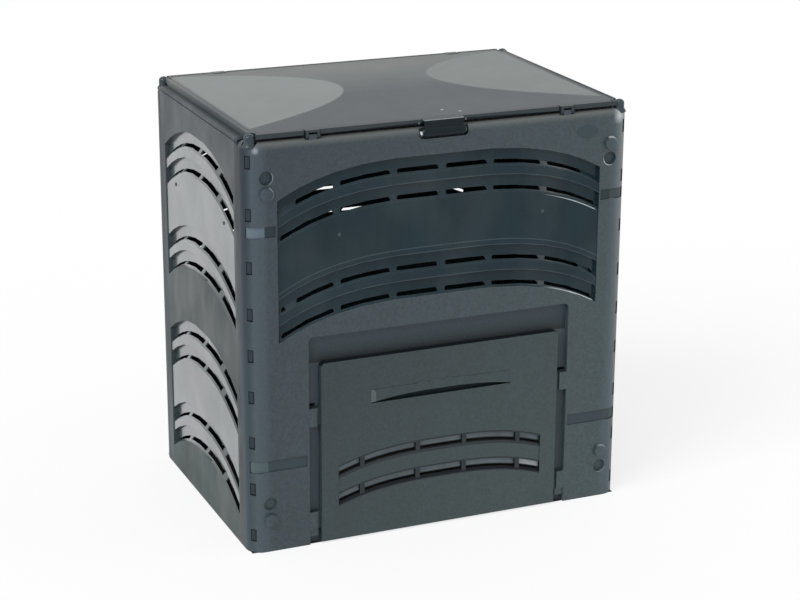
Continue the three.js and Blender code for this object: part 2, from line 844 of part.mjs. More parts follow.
function sidePanel() {
  let panel = join([
    run(sideProfile(), [-sideHalf, sideHalf]),
    run(sideEdgeProfile(), [sideHalf - sideEdgeWall, sideHalf]),
    run(sideEdgeProfile(), [-sideHalf, sideEdgeWall - sideHalf]),
  ]);
  panel = fitZone(panel, sideZone(sideZoneTop, upperPairPitch));
  panel = fitZone(panel, sideZone(lowerZoneTop, lowerPairPitch));
  const ends = [sleeves(-1), sleeves(1)];
  panel = join([panel, ...ends.flatMap((end) => end.added), ...pips(sidePip, relief)]);
  return panel.subtract(join(ends.map((end) => end.bore)));
}

// Corner rod with its domed head, standing on the axis
function cornerRod() {
  const base = seatTop + clearance;
  const domeFoot = base + headHeight - domeHeight;
  const dome = arc([0, 0], 1, 0, 90, filletFacets).slice(0, -1);
  const profile = [
    [0, base],
    [skirtRadius, base],
    [skirtRadius, base + skirtHeight],
    [headRadius, base + skirtHeight + skirtCone],
    ...dome.map(([a, b]) => [headRadius * a, domeFoot + domeHeight * b]),
    [0, domeFoot + domeHeight],
  ];
  const shank = post([0, 0], rodRadius, [footHeight + overrun, base + weld], boreFacets);
  const head = new THREE.LatheGeometry(
    profile.map(([radius, z]) => new THREE.Vector2(radius, z)),
    roundFacets,
  );
  head.rotateX(Math.PI / 2);
  return shank.add(solid(head));
}

// Door
function doorOutline(inset, foot) {
  const half = doorHalf - inset;
  const corner = doorCorner - inset / 2;
  const top = doorTop - inset;
  return [
    [-half, foot],
    [half, foot],
    ...arc([half - corner, top - corner], corner, 0, 90, filletFacets),
    ...arc([corner - half, top - corner], corner, 90, 180, filletFacets),
  ];
}

function doorShell() {
  const back = recessDepth - clearance;
  const depth = back + doorProud + doorBevel;
  const geometry = new THREE.ExtrudeGeometry(shapeOf(doorOutline(0, doorFoot)), {
    depth,
    bevelEnabled: true,
    bevelThickness: doorBevel,
    bevelSize: doorBevel,
    bevelOffset: -doorBevel,
    bevelSegments: doorBevelSegments,
  });
  geometry.rotateX(Math.PI / 2);
  geometry.translate(0, depth + doorBevel - doorProud, 0);
  const tooDeep = block([-bodyWidth, bodyWidth], [back, back + depth], [-overrun, panelHeight]);
  const hollow = through(doorOutline(doorWall, doorFoot + doorWall), [doorSkin - doorProud, back + overrun]);
  return solid(geometry).subtract(tooDeep).subtract(hollow);
}

function doorRuns() {
  const half = doorRibWidth / 2;
  const [first, second] = doorRibPlaces;
  return [
    [first + half, second - half],
    [second + half, doorZoneHalf - half],
  ];
}

function doorZone() {
  return louvreZone({
    face: -doorProud,
    deep: doorChannelDepth,
    drop: doorSlotDrop,
    slot: doorSlotHeight,
    chamfer: doorSlotChamfer,
    lip: doorSlotLip,
    sill: doorSillRise,
    half: doorZoneHalf,
    sag: doorZoneSag,
    power: doorZonePower,
    top: doorZoneTop,
    steps: [0, doorRowPitch],
    runs: doorRuns,
    stationShares: sideStationShares,
  });
}

function doorRibs() {
  const sagAt = (u) => doorZoneSag * (Math.abs(u) / doorZoneHalf) ** doorZonePower;
  const height = doorSlotDrop + doorSlotHeight / 2 + doorSillRise;
  return [0, doorRowPitch].flatMap((step) =>
    mirrored(doorRibPlaces).map((u) => {
      const [u0, u1] = around(u, doorRibWidth);
      const top = doorZoneTop - step;
      const outline = [
        [u0, top - sagAt(u0) + weld],
        [u0, top - sagAt(u0) - height],
        [u1, top - sagAt(u1) - height],
        [u1, top - sagAt(u1) + weld],
      ];
      return through(outline, [relief - doorProud, doorChannelDepth + weld - doorProud]);
    }),
  );
}

// The middle slot of each louvre row crosses the middle of the door
function doorMiddleSlots() {
  const half = doorRibPlaces[0] - doorRibWidth / 2;
  const reach = [doorSlotLip + lipWall - doorProud, doorChannelDepth + shellWall - doorProud + overrun];
  return [0, doorRowPitch].map((step) => {
    const middle = doorZoneTop - step - doorSlotDrop - ledgeCut / 2;
    return through(slotOutline(-half, half, () => middle, doorSlotHeight + ledgeCut, doorSlotChamfer), reach);
  });
}

function gripEdge(u) {
  return gripFoot + gripLens - (gripLens - gripEndLens) * (Math.abs(u) / gripHalf) ** gripLensPower;
}

function grip() {
  const front = -doorProud - gripProud;
  const skinBack = doorSkin - doorProud;
  const places = mirrored(gripStationShares.map((share) => share * gripHalf));
  const waveStart = (-gripWaves * gripWaveLength) / 2;
  const waves = Array.from({ length: 2 * gripWaves + 1 }, (_, i) => [
    waveStart + (i * gripWaveLength) / 2,
    gripTop + (i % 2) * gripWaveHeight,
  ]).reverse();
  const lower = places.map((u) => [u, gripEdge(u)]);
  const outline = [...lower, [gripHalf, gripTop], ...waves, [-gripHalf, gripTop]];
  const bead = through(outline, [front, weld - doorProud]);
  const slope = run(
    [
      [front - overrun, gripTop - gripSlope],
      [front, gripTop - gripSlope],
      [-doorProud - gripStep, gripTop + gripWaveHeight],
      [-doorProud - gripStep, gripTop + gripWaveHeight + overrun],
      [front - overrun, gripTop + gripWaveHeight + overrun],
    ],
    [-doorHalf, doorHalf],
  );
  const beadHeight = [gripFoot - overrun, gripTop + gripWaveHeight + overrun];
  const endSlopes = [-1, 1].map((side) =>
    upright(
      [
        [side * gripHalf, -doorProud],
        [side * (gripHalf - gripEndSlope), front],
        [side * (gripHalf - gripEndSlope), front - overrun],
        [side * (gripHalf + overrun), front - overrun],
        [side * (gripHalf + overrun), -doorProud],
      ],
      beadHeight,
    ),
  );
  const pocketTop = gripFoot + gripLens + gripPocketRise;
  const pocketFoot = gripFoot - gripPocketFall;
  const pocketBack = gripPocketDepth - doorProud;
  const shell = block(
    [-gripHalf - doorWall, gripHalf + doorWall],
    [skinBack - weld, pocketBack + doorWall],
    [pocketFoot - doorWall, pocketTop + doorWall],
  );
  const pocket = block([-gripHalf, gripHalf], [skinBack, pocketBack], [pocketFoot, pocketTop]);
  const mouth = [...lower, [gripHalf, gripFoot], [-gripHalf, gripFoot]];
  const lens = through(mouth, [front - overrun, pocketBack]);
  return { added: [bead.subtract(join([slope, ...endSlopes])), shell], cut: [pocket, lens] };
}

function ears() {
  const depthRange = [tabThickness + clearance, recessDepth - clearance];
  return [-1, 1].flatMap((side) => {
    const span = [side * (doorHalf - doorWall), side * (doorHalf + earReach)].sort((a, b) => a - b);
    return tabFeet.map((z) => block(span, depthRange, [z + clearance, z + tabHeight - clearance]));
  });
}

function makeDoor() {
  const hold = grip();
  let door = fitZone(doorShell(), doorZone());
  door = join([door, ...doorRibs()]).subtract(join(doorMiddleSlots()));
  door = join([door, ...hold.added]).subtract(join(hold.cut));
  return join([door, ...ears()]);
}

// Lid, in the bin's own frame
function lidBlock(inset, notch, [z0, z1]) {
  const halfX = halfWidth - lidSideInset - inset;
  const halfY = halfDepth - lidEndInset - inset;
  const plate = block([-halfX, halfX], [-halfY, halfY], [z0, z1]);
  const rodX = halfWidth - rodInset;
  const rodY = halfDepth - rodInset;
  const notches = [-1, 1].flatMap((sx) =>
    [-1, 1].map((sy) => post([sx * rodX, sy * rodY], notch, [z0 - overrun, z1 + overrun], roundFacets)),
  );
  return plate.subtract(join(notches));
}

function lidBody() {
  const rimFoot = lidTop - lidRim;
  const under = lidTop - lidBead - lidPlate;
  const outer = lidBlock(0, notchRadius, [rimFoot, lidTop]);
  const inner = lidBlock(rimWall, notchRadius + rimWall, [rimFoot - overrun, under]);
  const sunk = lidBlock(lidBeadWidth, notchRadius + lidBeadWidth, [lidTop - lidBead, lidTop + overrun]);
  return outer.subtract(inner).subtract(sunk);
}

// The side rims reach down to the side panels' top edges
function lidSideRims() {
  const halfX = halfWidth - lidSideInset;
  const halfY = sideHalf;
  return [-1, 1].map((side) => {
    const span = [side * (halfX - rimWall), side * halfX].sort((a, b) => a - b);
    return block(span, [-halfY, halfY], [sideTop + clearance, lidTop - lidRim + weld]);
  });
}

// A rib in the front panel's frame, which stands behind the ledge and shuts the gap under the lid
function ledgeRib() {
  const half = halfWidth - ledgeDepth - ribMargin;
  const near = ledgeDepth + clearance;
  const under = lidTop - lidBead - lidPlate;
  return block([-half, half], [near, near + ribThickness], [panelHeight - ribDrop, under + weld]);
}

// Two small oval marks near the lid's front edge, left by the mould
function lidMarks() {
  return lidMarkPlaces.map(([u, v]) => {
    const oval = new THREE.CylinderGeometry(lidMarkSize[0] / 2, lidMarkSize[0] / 2, lidMarkRise + weld, boreFacets);
    oval.rotateX(Math.PI / 2);
    oval.scale(1, lidMarkSize[1] / lidMarkSize[0], 1);
    oval.translate(u, v, lidTop - lidBead + (lidMarkRise - weld) / 2);
    return solid(oval);
  });
}

// One clip in the front panel's frame: gap in the rim, two cheeks, a pin between them and a strap over both
function clip(u) {
  const half = cheekGap / 2 + cheekThickness;
  const under = lidTop - lidBead - lidPlate;
  const strapEnd = hingeInset + strapSlotPlace;
  const cheek = [
    ...arc([hingeInset, hingeHeight], cheekRadius, -180, 0, boreFacets / 2),
    [hingeInset + cheekRadius, under + weld],
    [hingeInset - strapReach, under + weld],
  ];
  const inner = cheekGap / 2;
  const strapFront = hingeInset - strapReach;
  const added = [
    run(cheek, [u - half, u - inner]),
    run(cheek, [u + inner, u + half]),
    bar([hingeInset, hingeHeight], pinRadius, [u - inner - weld, u + inner + weld], boreFacets),
    block([u - half, u + half], [strapFront, strapEnd], [under, lidTop]),
  ];
  const rimCut = block(
    [u - half - rimGap, u + half + rimGap],
    [-overrun, lidEndInset + rimWall + rimGap],
    [hingeHeight - cheekRadius - overrun, lidTop + overrun],
  );
  const slotDepth = [strapEnd, strapEnd + strapSlot];
  const slotCut = block([u - half, u + half], slotDepth, [under - overrun, lidTop + overrun]);
  return { added, cut: [rimCut, slotCut] };
}

// Lip at the front, hanging in the front panel's pocket
function lip() {
  const under = lidTop - lidBead - lidPlate;
  const front = -lipForward;
  const arm = block([-lipHalf, lipHalf], [front, lidEndInset + rimWall], [under, lidTop]);
  const drop = block([-lipHalf, lipHalf], [front, front + lipThickness], [lipHeight, lidTop]);
  const axis = lipRadius - lipBulge;
  const end = lipHalf - lipEndInset;
  const roll = bar([axis, lipHeight], lipRadius, [-end, end], roundFacets);
  const ends = [-1, 1].map((side) => {
    const ball = new THREE.SphereGeometry(lipRadius, roundFacets, boreFacets);
    ball.translate(side * end, axis, lipHeight);
    return solid(ball);
  });
  const behind = block(
    [-pocketHalf, pocketHalf],
    [lipBack, axis + lipRadius + overrun],
    [pocketFoot, lipHeight + lipRadius + overrun],
  );
  return join([arm, drop, join([roll, ...ends]).subtract(behind)]);
}

function makeLid() {
  const clips = [clip(-clipPlace), clip(clipPlace)];
  const added = join([...clips.flatMap((one) => one.added), ledgeRib()]);
  const cut = join(clips.flatMap((one) => one.cut));
  const toFront = (made) => made.translate([0, -halfDepth, 0]);
  const toBack = (made) => made.rotate([0, 0, 180]).translate([0, halfDepth, 0]);
  const body = lidBody().subtract(toFront(cut)).subtract(toBack(cut));
  return join([body, ...lidSideRims(), toFront(added), toBack(added), toFront(join([lip(), ...lidMarks()]))]);
}

// Turns a solid into a named mesh
function meshOf(name, made, colour, roughness) {
  const { vertProperties, triVerts } = made.getMesh();
  const geometry = new THREE.BufferGeometry();
  geometry.setAttribute("position", new THREE.BufferAttribute(vertProperties, 3));
  geometry.setIndex(new THREE.BufferAttribute(triVerts, 1));
  geometry.computeVertexNormals();
  const looks = { color: colour, roughness, metalness: 0, flatShading: true };
  const material = new THREE.MeshStandardMaterial(looks);
  const mesh = new THREE.Mesh(geometry, material);
  mesh.name = name;
  return mesh;
}

// A panel's frame, turned to its side of the bin
function placed(mesh, angle, distance) {
  const group = new THREE.Group();
  mesh.position.set(0, -distance, 0);
  group.rotation.z = THREE.MathUtils.degToRad(angle);
  group.add(mesh);
  return group;
}

const panelColour = 0x4a545b;
const sideColour = 0x656d70;
const lidColour = 0x6e7476;
const doorColour = 0x46515a;
const rodColour = 0x3c454b;
const mattRoughness = 0.45;
const satinRoughness = 0.4;
const glossRoughness = 0.35;
const bin = new THREE.Group();
bin.name = "compost_bin";
bin.add(placed(meshOf("front_panel", facePanel(true), panelColour, mattRoughness), 0, halfDepth));
bin.add(placed(meshOf("back_panel", facePanel(false), panelColour, mattRoughness), 180, halfDepth));
bin.add(placed(meshOf("left_panel", sidePanel(), sideColour, satinRoughness), -90, halfWidth));
bin.add(placed(meshOf("right_panel", sidePanel(), sideColour, satinRoughness), 90, halfWidth));
bin.add(placed(meshOf("door", makeDoor(), doorColour, satinRoughness), 0, halfDepth));
bin.add(meshOf("lid", makeLid(), lidColour, glossRoughness));
const rodNames = ["rod_front_left", "rod_front_right", "rod_back_left", "rod_back_right"];
rodNames.forEach((name, i) => {
  const mesh = meshOf(name, cornerRod(), rodColour, glossRoughness);
  const x = (i % 2 === 0 ? -1 : 1) * (halfWidth - rodInset);
  const y = (i < 2 ? -1 : 1) * (halfDepth - rodInset);
  mesh.position.set(x, y, 0);
  bin.add(mesh);
});

export default bin;
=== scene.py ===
"""Dresses the compost bin: rounded moulded edges, plastics with grain and gloss, and a plain studio."""

import logging
import math
from dataclasses import dataclass
from enum import Enum
from functools import reduce
from typing import Optional, Union

import bmesh
import bpy
from mathutils import Matrix, Vector


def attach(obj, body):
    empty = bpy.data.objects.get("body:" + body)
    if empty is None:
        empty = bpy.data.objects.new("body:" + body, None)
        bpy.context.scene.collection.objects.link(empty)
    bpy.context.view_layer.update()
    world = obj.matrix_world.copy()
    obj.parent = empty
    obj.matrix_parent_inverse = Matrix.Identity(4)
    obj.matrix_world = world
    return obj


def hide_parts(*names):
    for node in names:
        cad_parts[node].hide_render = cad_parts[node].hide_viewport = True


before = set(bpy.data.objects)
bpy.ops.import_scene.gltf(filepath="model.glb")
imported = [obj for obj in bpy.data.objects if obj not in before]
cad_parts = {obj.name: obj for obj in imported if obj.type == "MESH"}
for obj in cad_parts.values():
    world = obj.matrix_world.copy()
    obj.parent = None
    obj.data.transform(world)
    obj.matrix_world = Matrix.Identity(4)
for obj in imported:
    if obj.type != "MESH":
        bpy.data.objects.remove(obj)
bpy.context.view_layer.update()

log = logging.getLogger("compost_bin")

MM = 0.001

# Where the bin's faces stand, in millimetres
HALF_WIDTH = 375.0
HALF_DEPTH = 263.0
PANEL_TOP = 766.0
LID_HALF = 359.0
LID_INSET = 7.0  # of the lid's front and back edges from the panels' faces
CORNER = 28.0  # radius of the upright corners

# The middles of the buttons on the front, in millimetres across and up
BUTTON_ACROSS = 336.0
UPPER_BUTTONS = (703.0, 674.5)
LOWER_BUTTONS = (93.5, 62.5)

CRISP = 0.8  # millimetres over which a sharp border between two colours changes
NOISE_MIDDLE = 0.5

# The curve between a screen's colours and linear ones
SCREEN_WHITE = 255
SCREEN_KNEE = 0.04045
SCREEN_SLOPE = 12.92
SCREEN_OFFSET = 0.055
SCREEN_POWER = 2.4

# The sockets of a Mix node that mixes colours
MIX_FACTOR, MIX_FIRST, MIX_SECOND, MIX_RESULT = 0, 6, 7, 2

Colour = tuple[float, float, float]
Linear = tuple[float, float, float, float]
Paint = Union[bpy.types.NodeSocket, Linear]
Span = tuple[float, float]
Number = Union["Signal", float]


def linear(colour: Colour) -> Linear:
    """Turns a colour written as 0 to 255 into the linear one that a socket takes.

    Args:
        colour: red, green and blue as an eye sees them on a screen.

    Returns:
        The linear colour with an alpha of 1.
    """
    red, green, blue = (
        part / SCREEN_SLOPE
        if part <= SCREEN_KNEE
        else ((part + SCREEN_OFFSET) / (1 + SCREEN_OFFSET)) ** SCREEN_POWER
        for part in (level / SCREEN_WHITE for level in colour)
    )
    return (red, green, blue, 1.0)


class Signal:
    """A number that changes over a surface. Sums and products of it add Math nodes."""

    def __init__(self, net: "Net", socket: bpy.types.NodeSocket) -> None:
        """Keeps the socket and the net that it belongs to."""
        self.net = net
        self.socket = socket

    def __add__(self, other: Number) -> "Signal":
        """This plus other."""
        return self.net.math("ADD", self, other)

    def __radd__(self, other: Number) -> "Signal":
        """Other plus this."""
        return self.net.math("ADD", other, self)

    def __sub__(self, other: Number) -> "Signal":
        """This less other."""
        return self.net.math("SUBTRACT", self, other)

    def __rsub__(self, other: Number) -> "Signal":
        """Other less this."""
        return self.net.math("SUBTRACT", other, self)

    def __mul__(self, other: Number) -> "Signal":
        """This times other."""
        return self.net.math("MULTIPLY", self, other)

    def __rmul__(self, other: Number) -> "Signal":
        """Other times this."""
        return self.net.math("MULTIPLY", other, self)

    def __truediv__(self, other: Number) -> "Signal":
        """This divided by other."""
        return self.net.math("DIVIDE", self, other)

    def __pow__(self, other: Number) -> "Signal":
        """This to the power of other."""
        return self.net.math("POWER", self, other)

    def __abs__(self) -> "Signal":
        """This without its sign."""
        return self.net.math("ABSOLUTE", self)

    def larger(self, other: Number) -> "Signal":
        """The larger of this and other."""
        return self.net.math("MAXIMUM", self, other)

    def smaller(self, other: Number) -> "Signal":
        """The smaller of this and other."""
        return self.net.math("MINIMUM", self, other)

    def held(self) -> "Signal":
        """This, held between 0 and 1."""
        return self.larger(0.0).smaller(1.0)

    def rise(self, low: float, high: float) -> "Signal":
        """0 up to low, 1 from high on, and a straight rise between them."""
        return ((self - low) / (high - low)).held()

    def above(self, edge: float, soft: float = CRISP) -> "Signal":
        """Rises from 0 to 1 round an edge.

        Args:
            edge: the value at which the result is one half.
            soft: how wide the rise is.

        Returns:
            A mask from 0 to 1.
        """
        return self.rise(edge - soft / 2, edge + soft / 2)

    def between(self, low: float, high: float, soft: float = CRISP) -> "Signal":
        """1 between two edges and 0 outside them, with soft borders."""
        return self.above(low, soft) * (1 - self.above(high, soft))

    def within(self, *spans: Span) -> "Signal":
        """1 inside any of the spans and 0 outside them all, with crisp borders."""
        return reduce(Signal.larger, (self.between(*span) for span in spans))


class Net:
    """Adds nodes to one node tree."""

    def __init__(self, tree: bpy.types.NodeTree) -> None:
        """Keeps a tree, which is emptied."""
        self.tree = tree
        tree.nodes.clear()

    def node(
        self,
        kind: str,
        settings: Optional[dict[str, object]] = None,
        inputs: Optional[dict[object, object]] = None,
    ) -> bpy.types.Node:
        """Makes a node.

        Args:
            kind: the node's type, such as ShaderNodeMath.
            settings: the node's own properties, which are set first.
            inputs: values or links by socket name or number.

        Returns:
            The node.
        """
        made = self.tree.nodes.new(kind)
        for key, value in (settings or {}).items():
            setattr(made, key, value)
        for key, value in (inputs or {}).items():
            socket = made.inputs[key]
            if isinstance(value, Signal):
                self.tree.links.new(value.socket, socket)
            elif isinstance(value, bpy.types.NodeSocket):
                self.tree.links.new(value, socket)
            else:
                socket.default_value = value
        return made

    def math(self, operation: str, *values: Number) -> Signal:
        """Adds a Math node and gives its result."""
        made = self.node("ShaderNodeMath", {"operation": operation}, dict(enumerate(values)))
        return Signal(self, made.outputs[0])

    def place(self) -> bpy.types.NodeSocket:
        """The point on the piece, in metres in the bin's own frame."""
        return self.node("ShaderNodeTexCoord").outputs["Object"]

    def axes(self) -> tuple[Signal, Signal, Signal]:
        """The point's x, y and z in millimetres."""
        split = self.node("ShaderNodeSeparateXYZ", None, {0: self.place()})
        x, y, z = (Signal(self, out) / MM for out in split.outputs)
        return (x, y, z)

    def ahead(self) -> Signal:
        """1 on the bin's front half and 0 on its back half."""
        return 1 - self.axes()[1].above(0.0)

    def noise(self, size: float, detail: float, tall: float = 1.0) -> Signal:
        """Cloudy noise round zero.

        Args:
            size: width of a cloud in millimetres.
            detail: how many finer layers it has.
            tall: how many times taller than wide the clouds are.

        Returns:
            A value from about -0.5 to 0.5.
        """
        flat = 1 / (size * MM)
        turned = {"Vector": self.place(), "Scale": (flat, flat, flat / tall)}
        at = self.node("ShaderNodeMapping", None, turned).outputs[0]
        made = self.node("ShaderNodeTexNoise", None, {"Vector": at, "Scale": 1.0, "Detail": detail})
        return Signal(self, made.outputs[0]) - NOISE_MIDDLE

    def blend(self, factor: Number, first: Paint, second: Paint) -> bpy.types.NodeSocket:
        """Mixes two colours by a factor."""
        inputs = {MIX_FACTOR: factor, MIX_FIRST: first, MIX_SECOND: second}
        return self.node("ShaderNodeMix", {"data_type": "RGBA"}, inputs).outputs[MIX_RESULT]

    def tint(self, colour: Paint, factor: Signal) -> bpy.types.NodeSocket:
        """Makes a colour lighter or darker by a factor round 1."""
        grey = self.node("ShaderNodeCombineXYZ", None, {0: factor, 1: factor, 2: factor})
        settings = {"data_type": "RGBA", "blend_type": "MULTIPLY"}
        inputs = {MIX_FACTOR: 1.0, MIX_FIRST: colour, MIX_SECOND: grey.outputs[0]}
        return self.node("ShaderNodeMix", settings, inputs).outputs[MIX_RESULT]

    def bump(self, height: Signal) -> bpy.types.NodeSocket:
        """A normal from a height in millimetres."""
        inputs = {"Height": height, "Distance": MM, "Strength": 1.0}
        return self.node("ShaderNodeBump", None, inputs).outputs[0]


@dataclass(frozen=True)
class Plastic:
    """A moulded polypropylene finish. Sizes and heights are in millimetres."""

    name: str
    colour: Colour
    roughness: float
    specular: float = 0.5
    grain: float = 0.03  # height of the mould's grain
    grain_size: float = 1.1
    wave: float = 0.0  # height of the surface's slow waves
    wave_size: float = 60.0
    mottle: float = 0.10  # how much clouds and streaks change the colour
    cloud_size: float = 130.0
    cloud_dulling: float = 0.08  # how much clouds change the roughness
    streak_size: float = 26.0
    streak_tall: float = 9.0
    streak_dulling: float = 0.05
    speckle: float = 0.05
    speck_size: float = 4.5
    lacquer: float = 0.0  # weight of a clear skin on the plastic
    lacquer_index: float = 1.5
    lacquer_roughness: float = 0.1
    patchy: float = 0.0  # how unevenly the skin lies
    patch_size: float = 95.0
    patch_tall: float = 1.7
    light_fade_colour: Optional[Colour] = None  # painted light and shade: the colour toward the bin's low right, standing in for the light from the floor
    light_fade: Span = (0.6, 0.4)  # how fast the painted light and shade get there per metre to the right and per metre down

    def shade(self, net: Net) -> tuple[bpy.types.NodeSocket, Signal]:
        """The colour and roughness over the surface.

        Args:
            net: the material's nodes.

        Returns:
            A colour socket and a roughness.
        """
        clouds = net.noise(self.cloud_size, detail=3)
        streaks = net.noise(self.streak_size, detail=2, tall=self.streak_tall)
        specks = net.noise(self.speck_size, detail=1)
        factor = 1 + clouds * self.mottle + streaks * (self.mottle / 2) + specks * self.speckle
        colour = net.tint(self.light_faded(net), factor)
        roughness = self.roughness + clouds * self.cloud_dulling + streaks * self.streak_dulling
        return self.marks(net, colour), roughness

    def light_faded(self, net: Net) -> Paint:
        """The colour before its clouds, with painted light and shade changing slowly toward the bin's low
        right.
        """
        if not self.light_fade_colour:
            return linear(self.colour)
        x, _, z = net.axes()
        right, down = self.light_fade
        half = 0.5  # the share at the bin's middle
        share = x * (right * MM) - (z - PANEL_TOP / 2) * (down * MM) + half
        return net.blend(share.held(), linear(self.colour), linear(self.light_fade_colour))

    def marks(self, net: Net, colour: bpy.types.NodeSocket) -> bpy.types.NodeSocket:
        """The colour with the finish's own marks, of which a plain finish has none."""
        return colour

    def gloss(self, net: Net) -> Number:
        """The weight of the clear skin over the surface."""
        if not self.patchy:
            return self.lacquer
        patches = net.noise(self.patch_size, detail=4, tall=self.patch_tall)
        return (patches * self.patchy + self.lacquer).larger(0.0)

    def relief(self, net: Net) -> bpy.types.NodeSocket:
        """The normal of grain on slow waves."""
        height = net.noise(self.grain_size, detail=2) * self.grain
        if self.wave:
            height = height + net.noise(self.wave_size, detail=1) * self.wave
        return net.bump(height)

    def material(self) -> bpy.types.Material:
        """Makes the material."""
        made = bpy.data.materials.new(self.name)
        made.use_nodes = True
        net = Net(made.node_tree)
        colour, roughness = self.shade(net)
        inputs = {
            "Base Color": colour,
            "Roughness": roughness,
            "Specular IOR Level": self.specular,
            "Coat Weight": self.gloss(net),
            "Coat IOR": self.lacquer_index,
            "Coat Roughness": self.lacquer_roughness,
            "Normal": self.relief(net),
        }
        shader = net.node("ShaderNodeBsdfPrincipled", None, inputs)
        net.node("ShaderNodeOutputMaterial", None, {"Surface": shader.outputs[0]})
        return made


@dataclass(frozen=True)
class ArchField:
    """The outline of an arched field on a wall, in millimetres along the wall and up."""

    half: float
    top: float
    sag: float
    power: float
    height: float  # from the middle of its top edge to the middle of its bottom edge
    lap: float = 1.0  # how far past its outline a face still counts

    def holds(self, along: float, up: float) -> bool:
        """True if a point of the wall lies in the field."""
        if abs(along) > self.half + self.lap:
            return False
        drop = self.sag * (abs(along) / self.half) ** self.power
        return self.top - drop - self.height - self.lap < up < self.top - drop + self.lap

    def under(self, along: Signal, up: Signal) -> Signal:
        """How far a point of the wall lies under the field's top edge."""
        share = (abs(along) / self.half).smaller(1.0)
        return self.top - share**self.power * self.sag - up


FRONT_ARCH = ArchField(316, 717, 57, 3.2, 261.7)
BACK_ARCH = ArchField(316, 731, 57, 3.2, 261.7)
SIDE_ARCHES = (ArchField(202, 719.5, 59, 2.2, 261.7), ArchField(202, 348, 59, 2.2, 248.7))
DOOR_ARCH = ArchField(205, 173.5, 27, 2.7, 75.0)  # both rows of the door's windows


@dataclass(frozen=True)
class Glint:
    """A painted highlight where a place catches the light, in millimetres across and up on the front."""

    across: Span
    up: Span
    weight: float = 1.0
    soft: float = 2.0

    def mask(self, net: Net) -> Signal:
        """Its weight at the point."""
        x, _, z = net.axes()
        return x.between(*self.across, self.soft) * z.between(*self.up, self.soft) * net.ahead() * self.weight


@dataclass(frozen=True)
class Crescent:
    """A painted highlight on a piece of a button's rim, in millimetres."""

    place: Span  # the button's middle, across and up
    toward: Span  # the side that gets the painted highlight
    weight: float = 0.8
    radius: float = 12.4
    half: float = 0.9  # of its breadth
    turn: float = 0.62  # cosine of the angle from the bright side at which it has half its weight
    turn_soft: float = 0.5

    def mask(self, net: Net) -> Signal:
        """Its weight at the point."""
        x, _, z = net.axes()
        across, up = x - self.place[0], z - self.place[1]
        away = (across * across + up * up) ** 0.5
        cosine = (across * self.toward[0] + up * self.toward[1]) / away
        ring = away.between(self.radius - self.half, self.radius + self.half)
        return ring * cosine.above(self.turn, self.turn_soft) * net.ahead() * self.weight


def upper_crescents(top_right: float, low_right: float, left: float) -> tuple[Crescent, ...]:
    """The painted highlights on the rims of the upper buttons.

    Args:
        top_right: weight on the upper one of the right pair.
        low_right: weight on the lower one of the right pair.
        left: weight on both of the left pair.

    Returns:
        Four crescents.
    """
    high, low = UPPER_BUTTONS
    return (
        Crescent((BUTTON_ACROSS, high), (0.6, 0.8), top_right),
        Crescent((BUTTON_ACROSS, low), (-0.6, -0.8), low_right),
        Crescent((-BUTTON_ACROSS, high), (1.0, -0.2), left),
        Crescent((-BUTTON_ACROSS, low), (1.0, 0.1), left),
    )


@dataclass(frozen=True)
class GlintPlastic(Plastic):
    """A plastic with painted highlights in a few places."""

    glint_colour: Colour = (228, 234, 236)
    glints: tuple[Union[Glint, Crescent], ...] = ()

    def marks(self, net: Net, colour: bpy.types.NodeSocket) -> bpy.types.NodeSocket:
        """The colour with its painted highlights."""
        for glint in self.glints:
            colour = net.blend(glint.mask(net), colour, linear(self.glint_colour))
        return colour


@dataclass(frozen=True)
class FramePlastic(GlintPlastic):
    """The walls' matt frame, with a painted highlight on its top fillet, painted sheen round the front of
    each corner and painted shade where each corner turns sideways.
    """

    # painted highlight along the top fillet
    top_highlight_colour: Colour = (88, 92, 90)
    top_from: float = 752.0
    top_to: float = PANEL_TOP + 0.7  # what stands higher isn't part of the fillet
    # painted sheen round the front of each corner
    corner_sheen_colour: Colour = (72, 88, 100)
    corner_span: Span = (338.0, 366.0)
    corner_soft: float = 12.0
    corner_sheen_share: float = 0.32
    wrap_from: float = 367.0  # past here the corner looks sideways
    wrap_soft: float = 11.0
    # painted shade where the corner turns sideways, paler toward the bottom
    wrap_shade_colour: Colour = (8, 27, 39)
    wrap_low_shade_colour: Colour = (40, 58, 66)
    sunny_from: float = 352.0  # of the painted sheen on the right corner, which is the palest
    sunny_soft: float = 14.0
    sunny_sheen_colour: Colour = (124, 128, 130)
    sunny_share: float = 0.6
    clip_shade_colour: Colour = (40, 52, 60)  # painted shade behind the lid's clips
    clip_span: Span = (238.0, 256.0)
    clip_from: float = 763.0
    clip_soft: float = 2.0

    def marks(self, net: Net, colour: bpy.types.NodeSocket) -> bpy.types.NodeSocket:
        """The painted highlight on the top edge, the painted sheen on the front of the corners and the
        painted shade on their sides and behind the clips.
        """
        x, _, z = net.axes()
        across, height = abs(x), z / PANEL_TOP
        top = z.rise(self.top_from, PANEL_TOP) * (1 - z.above(self.top_to))
        corner = across.between(*self.corner_span, self.corner_soft) * self.corner_sheen_share
        sunny = x.above(self.sunny_from, self.sunny_soft) * height * self.sunny_share
        behind = across.between(*self.clip_span) * z.above(self.clip_from, self.clip_soft)
        sideways = net.blend(height, linear(self.wrap_low_shade_colour), linear(self.wrap_shade_colour))
        edged = net.blend(top, colour, linear(self.top_highlight_colour))
        paler = net.blend(corner, edged, linear(self.corner_sheen_colour))
        wrapped = net.blend(self.wrap(net) * (1 - top), paler, sideways)
        lit = net.blend(sunny, wrapped, linear(self.sunny_sheen_colour))
        return super().marks(net, net.blend(behind, lit, linear(self.clip_shade_colour)))

    def wrap(self, net: Net) -> Signal:
        """1 where the corner has turned sideways."""
        return abs(net.axes()[0]).above(self.wrap_from, self.wrap_soft)

    def gloss(self, net: Net) -> Number:
        """The clear skin, which thins out round the corner."""
        return (1 - self.wrap(net)) * self.lacquer


